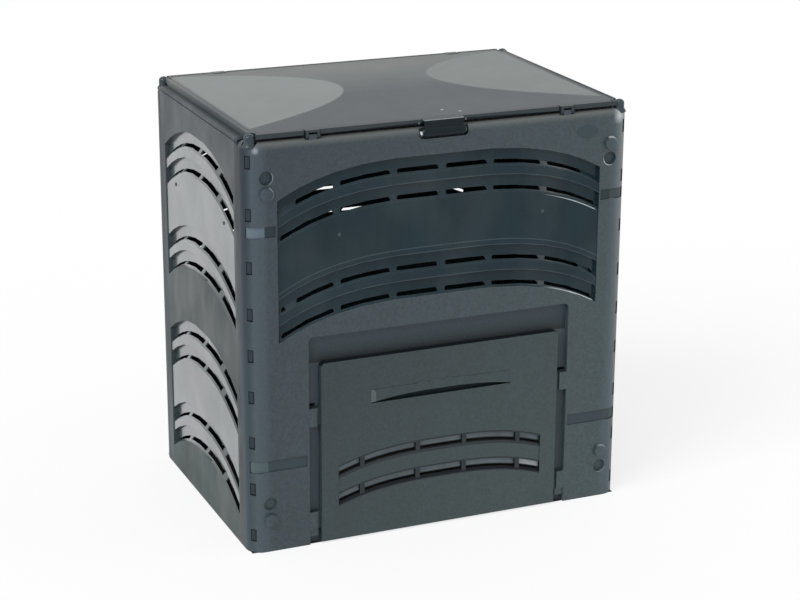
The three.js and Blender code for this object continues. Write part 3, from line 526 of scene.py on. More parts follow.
@dataclass(frozen=True)
class FieldPlastic(Plastic):
    """The louvre field's plastic, with painted highlight lines. Its lines are given by how far they lie under
    the field's top edge.
    """

    # painted highlight lines along the channels' edges
    line_colour: Colour = (120, 135, 140)
    line_share: float = 0.17
    line_drops: tuple[float, ...] = (49.0, 171.0, 181.0, 230.0)
    line_half: float = 0.9
    glint_colour: Colour = (205, 213, 217)
    glint_drops: tuple[Span, ...] = ((84.0, 85.2), (260.6, 263.0))
    glint_from: float = 200.0  # across, where they begin
    glint_full: float = 260.0
    glint_to: float = 309.0
    glint_soft: float = 5.0

    def marks(self, net: Net, colour: bpy.types.NodeSocket) -> bpy.types.NodeSocket:
        """The painted highlight lines over the channels, and the brighter painted highlights under the second
        and fourth rows at the right.
        """
        x, _, z = net.axes()
        ahead = net.ahead()
        under = FRONT_ARCH.under(x, z) + (1 - ahead) * (BACK_ARCH.top - FRONT_ARCH.top)
        lines = under.within(*((drop - self.line_half, drop + self.line_half) for drop in self.line_drops))
        lined = net.blend(lines * self.line_share, colour, linear(self.line_colour))
        right = x.rise(self.glint_from, self.glint_full) * (1 - x.above(self.glint_to, self.glint_soft))
        bright = under.within(*self.glint_drops) * ahead * right
        return net.blend(bright, lined, linear(self.glint_colour))


@dataclass(frozen=True)
class SideFramePlastic(Plastic):
    """The side panels' frame, with the dark band and seam line that run down its front edge. The band is
    partly the front panel's corner colour and partly painted shade; the line is a dark seam.
    """

    band: Span = (214.0, 245.0)  # in front of the bin's middle
    # partly the front panel's corner colour, partly painted shade like the corner's sideways part
    band_shade_colour: Colour = (0, 28, 42)
    line: Span = (212.0, 215.5)
    line_colour: Colour = (4, 7, 9)

    def marks(self, net: Net, colour: bpy.types.NodeSocket) -> bpy.types.NodeSocket:
        """The band and its line."""
        forward = 0 - net.axes()[1]
        banded = net.blend(forward.between(*self.band), colour, linear(self.band_shade_colour))
        return net.blend(forward.between(*self.line), banded, linear(self.line_colour))


@dataclass(frozen=True)
class PadPlastic(Plastic):
    """The pads behind the corner windows, with painted shade along the windows' edges."""

    # painted shade along the windows' edges
    edge_shade_colour: Colour = (8, 12, 15)
    window_shares: tuple[float, ...] = (0.0444, 0.162, 0.2794, 0.393, 0.4948, 0.5953, 0.7076, 0.833, 0.9556)
    clear: float = 9.6  # from a window's middle up and down to its dark edge
    right_from: float = 363.4

    def marks(self, net: Net, colour: bpy.types.NodeSocket) -> bpy.types.NodeSocket:
        """The painted shade along the borders."""
        x, _, z = net.axes()
        away = reduce(Signal.smaller, (abs(z - share * PANEL_TOP) for share in self.window_shares))
        dark = away.above(self.clear).larger(1 - abs(x).above(self.right_from))
        return net.blend(dark, colour, linear(self.edge_shade_colour))


@dataclass(frozen=True)
class RecessPlastic(Plastic):
    """The back of the door's recess, with painted shade where it goes down behind the door and painted light
    beside the door.
    """

    # painted shade over the door's top edge
    shadow: float = 0.55
    shadow_span: Span = (352.0, 372.0)
    head_light_gain: float = 0.75  # painted light that evens out the shade under the recess's head
    head_span: Span = (373.0, 403.0)
    # painted light on the strips beside the door
    beside_light_colour: Colour = (60, 70, 77)
    beside_to: float = 350.0
    beside_soft: float = 2.0

    def marks(self, net: Net, colour: bpy.types.NodeSocket) -> bpy.types.NodeSocket:
        """The painted soft shade over the door's top edge and the painted light on the strips beside the
        door.
        """
        height = net.axes()[2]
        near = 1 - height.rise(*self.shadow_span)
        over = net.tint(colour, 1 - near * self.shadow + height.rise(*self.head_span) * self.head_light_gain)
        return net.blend(1 - height.above(self.beside_to, self.beside_soft), over, linear(self.beside_light_colour))


@dataclass(frozen=True)
class BeltPlastic(Plastic):
    """The floor of a belt, with painted sheen where it comes round the corner, darker on the right."""

    # painted sheen where the belt curves round the corner, darker on the right
    belt_sheen_colour: Colour = (88, 102, 114)
    low_belt_sheen_colour: Colour = (70, 85, 90)
    right_belt_sheen_colour: Colour = (52, 63, 67)
    patch_from: float = 339.0
    low_flat_colour: Colour = (46, 60, 66)  # of the flat part of the lower belts
    low_to: float = 300.0

    def marks(self, net: Net, colour: bpy.types.NodeSocket) -> bpy.types.NodeSocket:
        """The painted sheen round the corner."""
        x, _, z = net.axes()
        low = 1 - z.above(self.low_to)
        flat = net.blend(low, colour, linear(self.low_flat_colour))
        left = net.blend(low, linear(self.belt_sheen_colour), linear(self.low_belt_sheen_colour))
        patch = net.blend(x.above(0.0), left, linear(self.right_belt_sheen_colour))
        return net.blend(abs(x).above(self.patch_from), flat, patch)


@dataclass(frozen=True)
class DoorPlastic(Plastic):
    """The door's plastic, with painted shade on the webs of its two arched window rows and round the windows.
    """

    # painted shade on the window rows
    row_shade_colour: Colour = (25, 34, 38)
    row_height: float = 23.5
    row_pitch: float = 54.0
    edge_lap: float = 3.0  # how far the painted shade reaches over a row's top edge
    end_lap: float = 0.6  # and past its ends

    def marks(self, net: Net, colour: bpy.types.NodeSocket) -> bpy.types.NodeSocket:
        """The painted shade on the window rows."""
        x, _, z = net.axes()
        spans = ((top - self.edge_lap, top + self.row_height) for top in (0.0, self.row_pitch))
        rows = DOOR_ARCH.under(x, z).within(*spans) * (1 - abs(x).above(DOOR_ARCH.half + self.end_lap))
        return net.blend(rows, colour, linear(self.row_shade_colour))


@dataclass(frozen=True)
class WindowPlastic(DoorPlastic):
    """The floor of the door's windows, with painted shade toward their slots and a painted highlight on the
    last window at the lower right.
    """

    # painted shade toward the slots
    slot_shade_colour: Colour = (34, 42, 46)
    slot_from: float = 11.5  # under a row's top edge
    slot_soft: float = 1.5
    lower_from: float = 49.0  # where the lower row begins under the upper row's top edge
    # painted highlight on the last window
    bright_highlight_colour: Colour = (150, 156, 162)
    bright_from: float = 160.0

    def marks(self, net: Net, colour: bpy.types.NodeSocket) -> bpy.types.NodeSocket:
        """The painted shade at the slots and the painted highlight on the last window."""
        x, _, z = net.axes()
        under = DOOR_ARCH.under(x, z)
        last = x.above(self.bright_from) * under.above(self.lower_from)
        upper = under.between(self.slot_from, self.lower_from, self.slot_soft)
        lower = under.above(self.row_pitch + self.slot_from, self.slot_soft)
        pale = net.blend(last, colour, linear(self.bright_highlight_colour))
        return net.blend(upper.larger(lower), pale, linear(self.slot_shade_colour))


@dataclass(frozen=True)
class LidPlastic(Plastic):
    """The lid's matt plate with a polished lobe at each end, and a painted sheen toward the back."""

    plate_from: float = 776.0  # what lies lower isn't the plate
    lobe_colour: Colour = (38, 57, 54)
    lobe_lengths: Span = (287.0, 241.0)  # of the left and right lobe, from the lid's ends inward
    lobe_tip: float = 64.0  # how far behind the lid's middle the tips lie
    lobe_reach: Span = (282.0, 180.0)  # from the tips forward and backward
    lobe_power: Span = (1.12, 0.70)
    lobe_soft: float = 4.0
    lobe_gloss: float = 0.52
    right_dulling: float = 0.13  # how much weaker the right lobe's gloss is
    rim: float = 14.0
    rim_soft: float = 3.0
    # painted sheen toward the lid's back
    back_sheen_colour: Colour = (88, 93, 91)
    back_sheen_span: Span = (-15.0, 195.0)
    border: float = 17.0  # width of the darker strip along the front edge, and of the sides' borders
    border_shade: float = 0.45
    line_half: float = 1.3
    line_shade: float = 0.6

    def lobes(self, net: Net) -> Signal:
        """1 on the two polished lobes."""
        x, y, z = net.axes()
        outline: Number = 1.0
        for sign, reach, power in zip((-1, 1), self.lobe_reach, self.lobe_power):
            share = ((y - self.lobe_tip) * (sign / reach)).held()
            outline = (1 - share * share) ** power * outline
        left, right = self.lobe_lengths
        length = x.above(0.0) * (right - left) + left
        inward = LID_HALF - abs(x)
        inside = (outline * length - inward).above(0.0, self.lobe_soft)
        return inside * inward.above(self.rim, self.rim_soft) * z.above(self.plate_from)

    def marks(self, net: Net, colour: bpy.types.NodeSocket) -> bpy.types.NodeSocket:
        """The plate's colour with the lobes, the painted sheen toward the back, the front strip and the
        sides' lines.
        """
        x, y, _ = net.axes()
        paler = net.blend(y.rise(*self.back_sheen_span), colour, linear(self.back_sheen_colour))
        lobed = net.blend(self.lobes(net), paler, linear(self.lobe_colour))
        strip = (1 - (y + (HALF_DEPTH - LID_INSET)).above(self.border)) * self.border_shade
        places = (self.border, self.border / 2)
        spans = ((place - self.line_half, place + self.line_half) for place in places)
        lines = (LID_HALF - abs(x)).within(*spans) * self.line_shade
        return net.tint(lobed, 1 - strip.larger(lines))

    def gloss(self, net: Net) -> Number:
        """The clear skin on the lobes alone."""
        right = net.axes()[0].above(0.0)
        return self.lobes(net) * (self.lobe_gloss - right * self.right_dulling)


class Finish(Enum):
    """The finishes of the bin."""

    FRAME = FramePlastic(
        "frame_plastic",
        (34, 46, 57),
        0.5,
        specular=0.42,
        grain=0.06,
        mottle=0.2,
        speckle=0.95,
        lacquer=0.35,
        lacquer_roughness=0.3,
        # painted light toward the low right
        light_fade_colour=(53, 70, 72),
        # painted highlights on the corners under the rods' heads and on the buttons' rims
        glints=(
            Glint((-357, -351), (750, 756), weight=0.6, soft=9.0),
            Glint((348, 362), (744, 762), weight=0.62, soft=14.0),
            *upper_crescents(top_right=0.6, low_right=0.8, left=0.35),
            Crescent((BUTTON_ACROSS, LOWER_BUTTONS[0]), (0.5, 0.8), weight=0.3),
            Crescent((BUTTON_ACROSS, LOWER_BUTTONS[1]), (0.4, -0.8), weight=0.3),
        ),
    )
    FIELD = FieldPlastic(
        "field_plastic",
        (24, 43, 50),
        0.22,
        specular=0.19,
        grain=0.008,
        wave=0.4,
        mottle=0.7,
        speckle=0.3,
        lacquer=0.08,
        patchy=1.1,
    )
    # painted shade on the walls of the corner windows and the door's windows, and on the door's top face
    DARK = Plastic("painted_shade_plastic", (14, 20, 24), 0.55, specular=0.15)
    # painted highlight: a paler finish on the rounded edges, with painted highlights on the buttons' rims and
    # under the upper belt at the right
    EDGE = GlintPlastic(
        "front_edge_highlight_plastic",
        (112, 126, 130),
        0.2,
        grain=0.004,
        glints=(
            *upper_crescents(top_right=0.8, low_right=0.8, left=0.5),
            Glint((338, 372), (593, 598)),
        ),
    )
    SIDE_FRAME = SideFramePlastic(
        "side_frame_plastic",
        (50, 58, 62),
        0.5,
        specular=0.34,
        grain=0.05,
        mottle=0.85,
        speckle=0.8,
        lacquer=0.13,
        lacquer_roughness=0.35,
        patchy=1.4,
        # painted shade toward the bottom
        light_fade_colour=(26, 45, 46),
        light_fade=(0.0, 1.5),
    )
    SIDE_FIELD = Plastic(
        "side_field_plastic",
        (69, 78, 80),
        0.25,
        grain=0.008,
        wave=0.4,
        mottle=1.15,
        speckle=0.3,
        lacquer=0.75,
        lacquer_index=1.65,
        lacquer_roughness=0.14,
        patchy=0.9,
        # painted shade toward the bottom
        light_fade_colour=(40, 54, 56),
        light_fade=(0.0, 1.2),
    )
    # painted highlight: a paler finish on the side panels' rounded edges
    SIDE_EDGE_HIGHLIGHT = Plastic("side_edge_highlight_plastic", (92, 100, 103), 0.2, grain=0.004)
    # painted shade: a darker, unglossed copy of the side field for its walls that don't face outward
    SIDE_END_SHADE = Plastic("side_end_shade_plastic", (62, 71, 75), 0.5, specular=0.35)
    PAD = PadPlastic("pad_plastic", (36, 47, 56), 0.6, specular=0.25)
    BELT = BeltPlastic("belt_plastic", (30, 44, 50), 0.5, specular=0.35)
    # paler toward the bottom: painted light
    SUNK = Plastic("sunk_plastic", (44, 60, 66), 0.5, specular=0.4, light_fade_colour=(62, 76, 80), light_fade=(0.0, 1.6))
    RECESS = RecessPlastic("recess_plastic", (43, 54, 60), 0.6, specular=0.4, speckle=0.5)
    DOOR = DoorPlastic(
        "door_plastic",
        (36, 47, 52),
        0.42,
        specular=0.4,
        wave=0.1,
        mottle=0.18,
        speckle=0.6,
        # painted light toward the low right
        light_fade_colour=(56, 69, 70),
        light_fade=(0.9, 1.0),
    )
    DOOR_DEEP = WindowPlastic("door_deep_plastic", (88, 100, 104), 0.3, specular=0.3, grain=0.008, mottle=1.2)
    # painted highlight on the door's rounded edges, with painted shade in the window rows
    DOOR_EDGE_HIGHLIGHT = DoorPlastic("door_edge_highlight_plastic", (128, 140, 143), 0.25, grain=0.004)
    # painted light on the grip's left end, turning to painted shade at its right end
    GRIP_END_LIT = Plastic("grip_end_lit_plastic", (72, 84, 83), 0.4, light_fade_colour=(44, 56, 60), light_fade=(20.0, 0.0))
    # painted shade in the grip's pocket
    GRIP_POCKET_SHADE = Plastic("grip_pocket_shade_plastic", (30, 41, 44), 0.6, specular=0.15)
    LID = LidPlastic("lid_plastic", (44, 55, 61), 0.46, specular=0.42, grain=0.04, speckle=0.35)
    # the mould marks, painted near white as painted highlights
    LID_MARK_GLINT = Plastic("mould_mark_glint_plastic", (190, 196, 196), 0.3)
    # painted highlight: a paler finish on the lid's rounded edges, brightest round the lip
    LID_EDGE_HIGHLIGHT = GlintPlastic(
        "lid_edge_highlight_plastic",
        (92, 102, 104),
        0.25,
        specular=0.4,
        grain=0.004,
        glints=(Glint((-48, 48), (745, 781), weight=0.4),),
    )
    RIM = Plastic("rim_plastic", (44, 53, 56), 0.45, specular=0.32)
    LIP = GlintPlastic(
        "lip_plastic",
        (16, 27, 31),
        0.2,
        specular=0.16,
        grain=0.004,
        # painted highlights at the lip's ends and along its top edge
        glints=(
            Glint((-47, -43), (750, 759), weight=0.8),
            Glint((42, 47), (752, 760), weight=0.22, soft=4.0),
            Glint((-46, 46), (778, 780), weight=0.3, soft=CRISP),
            Glint((-46.4, -44.6), (768, 779), weight=0.3, soft=CRISP),
            Glint((44.6, 46.4), (768, 779), weight=0.3, soft=CRISP),
        ),
    )
    ROD = Plastic("rod_plastic", (38, 51, 59), 0.32, specular=0.42, grain=0.01)


class Wall(Enum):
    """The side of the bin on which a moulding's zones lie."""

    FRONT = 0
    BACK = 1
    LEFT = 2
    RIGHT = 3

    def flat(self, point: Vector) -> tuple[float, float, float]:
        """Where a point lies on the wall.

        Args:
            point: a point of the bin, in metres.

        Returns:
            Its place along the wall, its depth behind the wall's face and its height, in millimetres.
        """
        x, y, z = (part / MM for part in point)
        if self is Wall.FRONT:
            return x, y + HALF_DEPTH, z
        if self is Wall.BACK:
            return -x, HALF_DEPTH - y, z
        if self is Wall.LEFT:
            return -y, x + HALF_WIDTH, z
        return y, HALF_WIDTH - x, z

    def outward(self, normal: Vector) -> float:
        """How much a face looks out of the wall, from -1 to 1."""
        ways = {Wall.FRONT: -normal.y, Wall.BACK: normal.y, Wall.LEFT: -normal.x, Wall.RIGHT: normal.x}
        return ways[self]


@dataclass(frozen=True)
class BoxField:
    """A straight piece of a wall, in millimetres along the wall and up. Both of its sides count."""

    along: Span
    up: Span

    def holds(self, along: float, up: float) -> bool:
        """True if a point of the wall lies in the piece."""
        return self.along[0] < abs(along) < self.along[1] and self.up[0] < up < self.up[1]


RECESS = BoxField((-1.0, 262.0), (0.5, 404.0))
RECESS_SIDE = BoxField((258.5, 263.0), (0.5, 404.0))
CORNER_WALLS = BoxField((340.0, 376.0), (2.0, 760.0))
PADS = BoxField((240.5, 262.5), (0.0, PANEL_TOP))
BADGE = BoxField((260.0, 316.0), (710.0, 748.0))
DIMPLES = (BoxField((322.0, 350.0), (48.0, 109.0)), BoxField((322.0, 350.0), (660.0, 718.0)))
BELTS = (BoxField((316.0, 380.0), (595.0, 617.0)), BoxField((260.0, 380.0), (155.0, 179.0)))
LIP = BoxField((-1.0, 46.0), (740.0, 779.2))
LID_RIM = BoxField((-1.0, 360.0), (768.0, 778.8))
LID_MARKS = BoxField((10.0, 60.0), (778.85, 779.6))
DOOR_TOP = BoxField((-1.0, 240.0), (346.0, 353.0))
GRIP = BoxField((-1.0, 142.0), (249.0, 290.0))
GRIP_ENDS = BoxField((131.0, 142.0), (255.0, 295.0))

# How much the faces of a zone look out of their wall
ANY_WAY: Span = (-1.0, 1.01)
OUTWARD: Span = (0.35, 1.01)
OUTER: Span = (0.9, 1.01)
SLANTED: Span = (0.9, 0.99)
NOT_FLAT: Span = (-0.9, 0.9)
EDGEWAYS: Span = (-0.5, 0.5)

SKIN_DEPTH: Span = (0.8, 3.2)  # of a face sunk in the rounded corner
SKIN_OUTWARD = 0.6  # how much it looks out of the corner at least


@dataclass(frozen=True)
class Zone:
    """A part of a wall with its own finish."""

    finish: Finish
    field: Union[ArchField, BoxField]
    depth: Span = (0.3, 12.4)
    facing: Span = ANY_WAY
    around: bool = False  # only faces that cross the rounded corner's skin, such as a window's walls
    curved: bool = False  # only faces sunk in the rounded corner

    def holds(self, wall: Wall, centre: Vector, normal: Vector) -> bool:
        """True if a face belongs to the zone.

        Args:
            wall: the side of the bin on which the zone lies.
            centre: the face's middle, in metres.
            normal: the way that the face looks.

        Returns:
            Whether its place, depth and facing fit.
        """
        along, depth, up = wall.flat(centre)
        if not self.depth[0] < depth < self.depth[1] or not self.field.holds(along, up):
            return False
        if not self.facing[0] <= wall.outward(normal) < self.facing[1]:
            return False
        if not self.around and not self.curved:
            return True
        arm = Vector((abs(centre.x) / MM - HALF_WIDTH + CORNER, abs(centre.y) / MM - HALF_DEPTH + CORNER))
        if arm.x < 0 or arm.y < 0:
            return False
        look = Vector([math.copysign(way, way * place) for way, place in zip(normal.xy, centre.xy)])
        outward = look.dot(arm.normalized())
        if self.around:
            return abs(outward) < EDGEWAYS[1]
        return outward > SKIN_OUTWARD and SKIN_DEPTH[0] < CORNER - arm.length < SKIN_DEPTH[1]


@dataclass
class Moulding:
    """A moulded piece: a copy of its CAD node with rounded edges and smooth curves."""

    node: str
    body: str
    slot: str
    finish: Finish
    edge_round: float = 0.5  # millimetres
    edge_angle: float = 28.0  # degrees; a sharper edge than this is rounded
    edge_segments: int = 2
    edge_finish: Optional[Finish] = None
    zones: tuple[Zone, ...] = ()
    wall: Wall = Wall.FRONT
    merge_gap: float = 0.01  # millimetres; points nearer than this become one
    flat_angle: float = 0.5  # degrees; faces that turn less than this are joined
    flat_weight: int = 100  # how strongly the large faces set the shading

    def finishes(self) -> list[Finish]:
        """The piece's own finish, its zones' and its edges', in the order of the material slots."""
        edges = [self.edge_finish] if self.edge_finish else []
        return list(dict.fromkeys([self.finish, *(zone.finish for zone in self.zones), *edges]))

    def finish_of(self, face: bmesh.types.BMFace) -> Finish:
        """The finish of a face: that of the first zone that holds it, or else the piece's own."""
        centre = face.calc_center_median()
        fitting = (zone.finish for zone in self.zones if zone.holds(self.wall, centre, face.normal))
        return next(fitting, self.finish)

    def shape(self, mesh: bpy.types.Mesh) -> None:
        """Merges the copied triangles, gives each its finish and joins those in one plane.

        Args:
            mesh: the copy of the node's mesh, which is changed.
        """
        shape = bmesh.new()
        shape.from_mesh(mesh)
        bmesh.ops.remove_doubles(shape, verts=shape.verts, dist=self.merge_gap * MM)
        shape.normal_update()
        slots = self.finishes()
        for face in shape.faces:
            face.smooth = True
            face.material_index = slots.index(self.finish_of(face))
        bmesh.ops.dissolve_limit(
            shape,
            angle_limit=math.radians(self.flat_angle),
            verts=shape.verts,
            edges=shape.edges,
            use_dissolve_boundaries=False,
            delimit={"MATERIAL"},
        )
        for edge in shape.edges:
            edge.smooth = edge.calc_face_angle(math.pi) < math.radians(self.edge_angle)
        shape.to_mesh(mesh)
        shape.free()

    def build(self) -> bpy.types.Object:
        """Makes the piece, dresses it and lets it stand for its node.

        Returns:
            The piece.
        """
        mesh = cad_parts[self.node].data.copy()
        mesh.name = self.node + "_moulding"
        mesh.materials.clear()
        for finish in self.finishes():
            mesh.materials.append(material_of(finish))
        self.shape(mesh)
        piece = bpy.data.objects.new(mesh.name, mesh)
        bpy.context.scene.collection.objects.link(piece)
        self.round_edges(piece)
        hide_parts(self.node)
        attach(piece, self.body)
        log.info("built %s with %d faces", piece.name, len(mesh.polygons))
        return piece

    def round_edges(self, piece: bpy.types.Object) -> None:
        """Adds the modifiers that round the edges and keep flat faces flat."""
        bevel = piece.modifiers.new("edges", "BEVEL")
        bevel.width = self.edge_round * MM
        bevel.segments = self.edge_segments
        bevel.limit_method = "ANGLE"
        bevel.angle_limit = math.radians(self.edge_angle)
        bevel.use_clamp_overlap = True
        bevel.miter_outer = "MITER_SHARP"
        bevel.harden_normals = False
        bevel.material = self.finishes().index(self.edge_finish) if self.edge_finish else -1
        weighted = piece.modifiers.new("flats", "WEIGHTED_NORMAL")
        weighted.keep_sharp = False
        weighted.weight = self.flat_weight


_MATERIALS: dict[Finish, bpy.types.Material] = {}


def material_of(finish: Finish) -> bpy.types.Material:
    """The material of a finish, made once."""
    if finish not in _MATERIALS:
        _MATERIALS[finish] = finish.value.material()
    return _MATERIALS[finish]


@dataclass
class WallPanels:
    """The four walls, locked together at the corners. Depths are behind a wall's face, in millimetres."""

    belt_depth: Span = (1.5, 2.6)
    round_belt_depth: Span = (1.5, 26.0)
    recess_depth: Span = (8.0, 11.6)
    recess_side_depth: Span = (0.4, 10.6)
    badge_depth: Span = (-2.0, -0.3)
    dimple_depth: Span = (0.5, 7.0)
    window_depth: Span = (0.4, 26.0)
    pad_depth: Span = (-1.0, 30.0)

    def build(self) -> list[bpy.types.Object]:
        """Makes the four wall mouldings."""
        face = {"slot": "panel", "finish": Finish.FRAME, "edge_finish": Finish.EDGE}
        side = {"slot": "side", "finish": Finish.SIDE_FRAME, "edge_finish": Finish.SIDE_EDGE_HIGHLIGHT}
        panels = (
            Moulding("front_panel", "bin", wall=Wall.FRONT, zones=self.face(FRONT_ARCH), **face),
            Moulding("back_panel", "bin", wall=Wall.BACK, zones=self.face(BACK_ARCH), **face),
            Moulding("left_panel", "bin", wall=Wall.LEFT, zones=self.side(), **side),
            Moulding("right_panel", "bin", wall=Wall.RIGHT, zones=self.side(), **side),
        )
        return [panel.build() for panel in panels]

    def face(self, arch: ArchField) -> tuple[Zone, ...]:
        """The zones of the front or back panel, by the outline of its louvre field."""
        return (
            Zone(Finish.FIELD, arch),
            Zone(Finish.SUNK, RECESS_SIDE, self.recess_side_depth, EDGEWAYS),
            Zone(Finish.RECESS, RECESS, self.recess_depth),
            Zone(Finish.SUNK, BADGE, self.badge_depth, OUTER),
            *(Zone(Finish.SUNK, dimple, self.dimple_depth) for dimple in DIMPLES),
            *(Zone(Finish.BELT, belt, self.round_belt_depth, curved=True) for belt in BELTS),
            *(Zone(Finish.BELT, belt, self.belt_depth, OUTER) for belt in BELTS),
            Zone(Finish.DARK, CORNER_WALLS, self.window_depth, around=True),
        )

    def side(self) -> tuple[Zone, ...]:
        """The zones of a side panel."""
        return (
            Zone(Finish.PAD, PADS, self.pad_depth),
            *(Zone(Finish.SIDE_FIELD, arch, facing=OUTWARD) for arch in SIDE_ARCHES),
            *(Zone(Finish.SIDE_END_SHADE, arch) for arch in SIDE_ARCHES),
        )


@dataclass
class CornerRods:
    """The four rods with domed heads."""

    edge_round: float = 0.6
    edge_angle: float = 35.0

    def build(self) -> list[bpy.types.Object]:
        """Makes the four rods."""
        names = [f"rod_{end}_{side}" for end in ("front", "back") for side in ("left", "right")]
        rods = [Moulding(name, "bin", "rod", Finish.ROD, self.edge_round, self.edge_angle) for name in names]
        return [rod.build() for rod in rods]


@dataclass
class Lid:
    """The flat lid with its clips and front lip. Depths are behind the front's face, in millimetres."""

    lip_depth: Span = (-6.5, 7.0)
    mark_depth: Span = (30.0, 80.0)
    rim_depth: Span = (-3.0, 12.0)

    def build(self) -> list[bpy.types.Object]:
        """Makes the lid."""
        zones = (
            Zone(Finish.LIP, LIP, self.lip_depth),
            Zone(Finish.LID_MARK_GLINT, LID_MARKS, self.mark_depth),
            Zone(Finish.RIM, LID_RIM, self.rim_depth, OUTER),
        )
        lid = Moulding("lid", "lid", "lid", Finish.LID, edge_finish=Finish.LID_EDGE_HIGHLIGHT, zones=zones)
        return [lid.build()]


@dataclass
class Door:
    """The withdrawal door. Depths are behind the front's face, in millimetres."""

    window_depth: Span = (-1.5, 9.0)
    window_wall_depth: Span = (-3.7, 9.0)
    grip_depth: Span = (-3.0, 20.0)
    grip_end_depth: Span = (-6.1, -4.1)
    top_depth: Span = (-3.9, 9.0)

    def build(self) -> list[bpy.types.Object]:
        """Makes the door."""
        zones = (
            Zone(Finish.DOOR_DEEP, DOOR_ARCH, self.window_depth, OUTER),
            Zone(Finish.DARK, DOOR_ARCH, self.window_wall_depth, NOT_FLAT),
            Zone(Finish.GRIP_POCKET_SHADE, GRIP, self.grip_depth),
            Zone(Finish.GRIP_END_LIT, GRIP_ENDS, self.grip_end_depth, SLANTED),
            Zone(Finish.DARK, DOOR_TOP, self.top_depth, NOT_FLAT),
        )
        door = Moulding("door", "door", "door", Finish.DOOR, edge_finish=Finish.DOOR_EDGE_HIGHLIGHT, zones=zones)
        return [door.build()]


@dataclass(frozen=True)
class Lamp:
    """A distant soft lamp."""

    name: str
    way: tuple[float, float, float]  # from the bin to it
    strength: float
    spread: float  # its width as the bin sees it, in degrees
    distance: float = 4.0  # in metres, which doesn't change its light

    def hang(self) -> None:
        """Puts the lamp in the scene."""
        lamp = bpy.data.lights.new(self.name, "SUN")
        lamp.energy = self.strength
        lamp.angle = math.radians(self.spread)
        holder = bpy.data.objects.new(self.name, lamp)
        bpy.context.scene.collection.objects.link(holder)
        toward = Vector(self.way).normalized()
        holder.location = toward * self.distance
        holder.rotation_mode = "QUATERNION"
        holder.rotation_quaternion = toward.to_track_quat("Z", "Y")


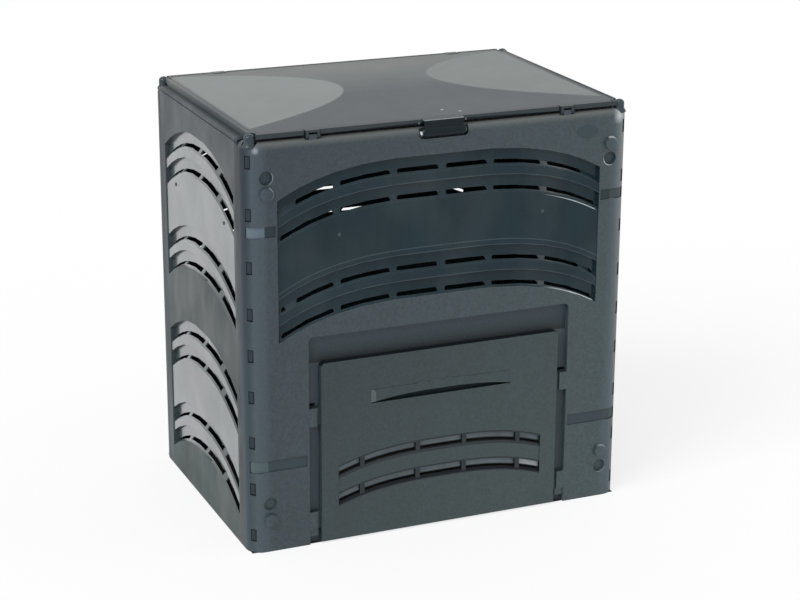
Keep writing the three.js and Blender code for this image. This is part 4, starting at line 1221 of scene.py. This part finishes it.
@dataclass
class Studio:
    """A pale floor, a white room, soft lamps and the camera. Lengths are in metres."""

    floor_half: float = 40.0
    floor_colour: Colour = (251, 251, 251)
    floor_white: float = 0.75  # share of plain white that the eye sees in the floor
    floor_cloud: float = 900.0  # width of the paper's clouds in millimetres
    floor_mottle: float = 0.004
    shaded_ground_colour: Colour = (70, 66, 60)  # painted shade on the ground inside the bin
    shaded_ground_inset: float = 4.0  # of its border from the bin's faces, in millimetres
    room_light: float = 0.60
    lamps: tuple[Lamp, ...] = (
        Lamp("key_lamp", (-0.70, -0.32, 0.64), strength=1.8, spread=35.0),
        Lamp("right_lamp", (0.69, -0.30, 0.65), strength=0.1, spread=14.0),
        Lamp("glint_lamp", (-0.38, -0.52, 0.73), strength=0.2, spread=6.0),
    )
    focal: float = 2115.0  # pixels at a picture width of 800
    picture_width: float = 800.0
    sensor: float = 36.0
    eye: tuple[float, float, float] = (-1.5078, -3.5894, 1.6483)
    turn: float = 23.18  # degrees to the right of straight ahead
    tilt: float = 18.3  # degrees down
    roll: float = -0.29  # degrees
    sight: float = 200.0  # how far the camera sees

    def build(self) -> None:
        """Makes the floor, the light and the camera."""
        self.lay_floor()
        self.light_room()
        for lamp in self.lamps:
            lamp.hang()
        self.set_camera()
        bpy.context.scene.view_settings.view_transform = "Standard"

    def seen(self, net: Net) -> Signal:
        """1 where the eye looks, also in a gloss or through something, and 0 for the light on things."""
        path = net.node("ShaderNodeLightPath").outputs
        names = ("Is Camera Ray", "Is Glossy Ray", "Is Transmission Ray")
        return reduce(Signal.larger, (Signal(net, path[name]) for name in names))

    def lay_floor(self) -> None:
        """Lays the floor under the bin."""
        mesh = bpy.data.meshes.new("studio_floor")
        shape = bmesh.new()
        bmesh.ops.create_grid(shape, x_segments=1, y_segments=1, size=self.floor_half)
        shape.to_mesh(mesh)
        shape.free()
        floor = bpy.data.objects.new("studio_floor", mesh)
        bpy.context.scene.collection.objects.link(floor)
        mesh.materials.append(self.paper())

    def paper(self) -> bpy.types.Material:
        """The floor's white paper, with painted shade on the ground where the bin stands."""
        made = bpy.data.materials.new("floor_paper")
        made.use_nodes = True
        net = Net(made.node_tree)
        x, y, _ = net.axes()
        beside = abs(x).above(HALF_WIDTH - self.shaded_ground_inset).larger(abs(y).above(HALF_DEPTH - self.shaded_ground_inset))
        ground = net.blend(beside, linear(self.shaded_ground_colour), linear(self.floor_colour))
        colour = net.tint(ground, 1 + net.noise(self.floor_cloud, detail=1) * self.floor_mottle)
        surface = {"Base Color": colour, "Roughness": 1.0, "Specular IOR Level": 0.0}
        paper = net.node("ShaderNodeBsdfPrincipled", None, surface)
        white = net.node("ShaderNodeEmission", None, {"Color": (1, 1, 1, 1), "Strength": 1.0})
        share = self.seen(net) * beside * self.floor_white
        shader = net.node("ShaderNodeMixShader", None, {0: share, 1: paper.outputs[0], 2: white.outputs[0]})
        net.node("ShaderNodeOutputMaterial", None, {"Surface": shader.outputs[0]})
        return made

    def light_room(self) -> None:
        """Fills the room with plain light. The eye and gloss see its walls as white."""
        world = bpy.data.worlds.new("studio_room")
        bpy.context.scene.world = world
        world.use_nodes = True
        net = Net(world.node_tree)
        strength = self.room_light + self.seen(net) * (1 - self.room_light)
        light = net.node("ShaderNodeBackground", None, {"Color": (1, 1, 1, 1), "Strength": strength})
        net.node("ShaderNodeOutputWorld", None, {"Surface": light.outputs[0]})

    def set_camera(self) -> None:
        """Puts the camera where the photograph was taken from."""
        turn, tilt, roll = (math.radians(angle) for angle in (self.turn, self.tilt, self.roll))
        ahead = Vector((math.sin(turn) * math.cos(tilt), math.cos(turn) * math.cos(tilt), -math.sin(tilt)))
        right = Vector((math.cos(turn), -math.sin(turn), 0.0))
        down = ahead.cross(right)
        right_rolled = right * math.cos(roll) + down * math.sin(roll)
        down_rolled = down * math.cos(roll) - right * math.sin(roll)
        columns = (right_rolled, -down_rolled, -ahead)
        data = bpy.data.cameras.new("camera")
        data.sensor_fit = "HORIZONTAL"
        data.sensor_width = self.sensor
        data.lens = self.focal / self.picture_width * self.sensor
        data.clip_end = self.sight
        camera = bpy.data.objects.new("camera", data)
        camera.matrix_world = Matrix.Translation(self.eye) @ Matrix(columns).transposed().to_4x4()
        bpy.context.scene.collection.objects.link(camera)
        bpy.context.scene.camera = camera


def main() -> None:
    """Builds the studio and the bin's sub-assemblies in order."""
    logging.basicConfig(level=logging.INFO, format="%(name)s: %(message)s")
    Studio().build()
    for assembly in (WallPanels(), CornerRods(), Lid(), Door()):
        made = assembly.build()
        log.info("%s: %d pieces", type(assembly).__name__, len(made))


if __name__ == "__main__":
    main()
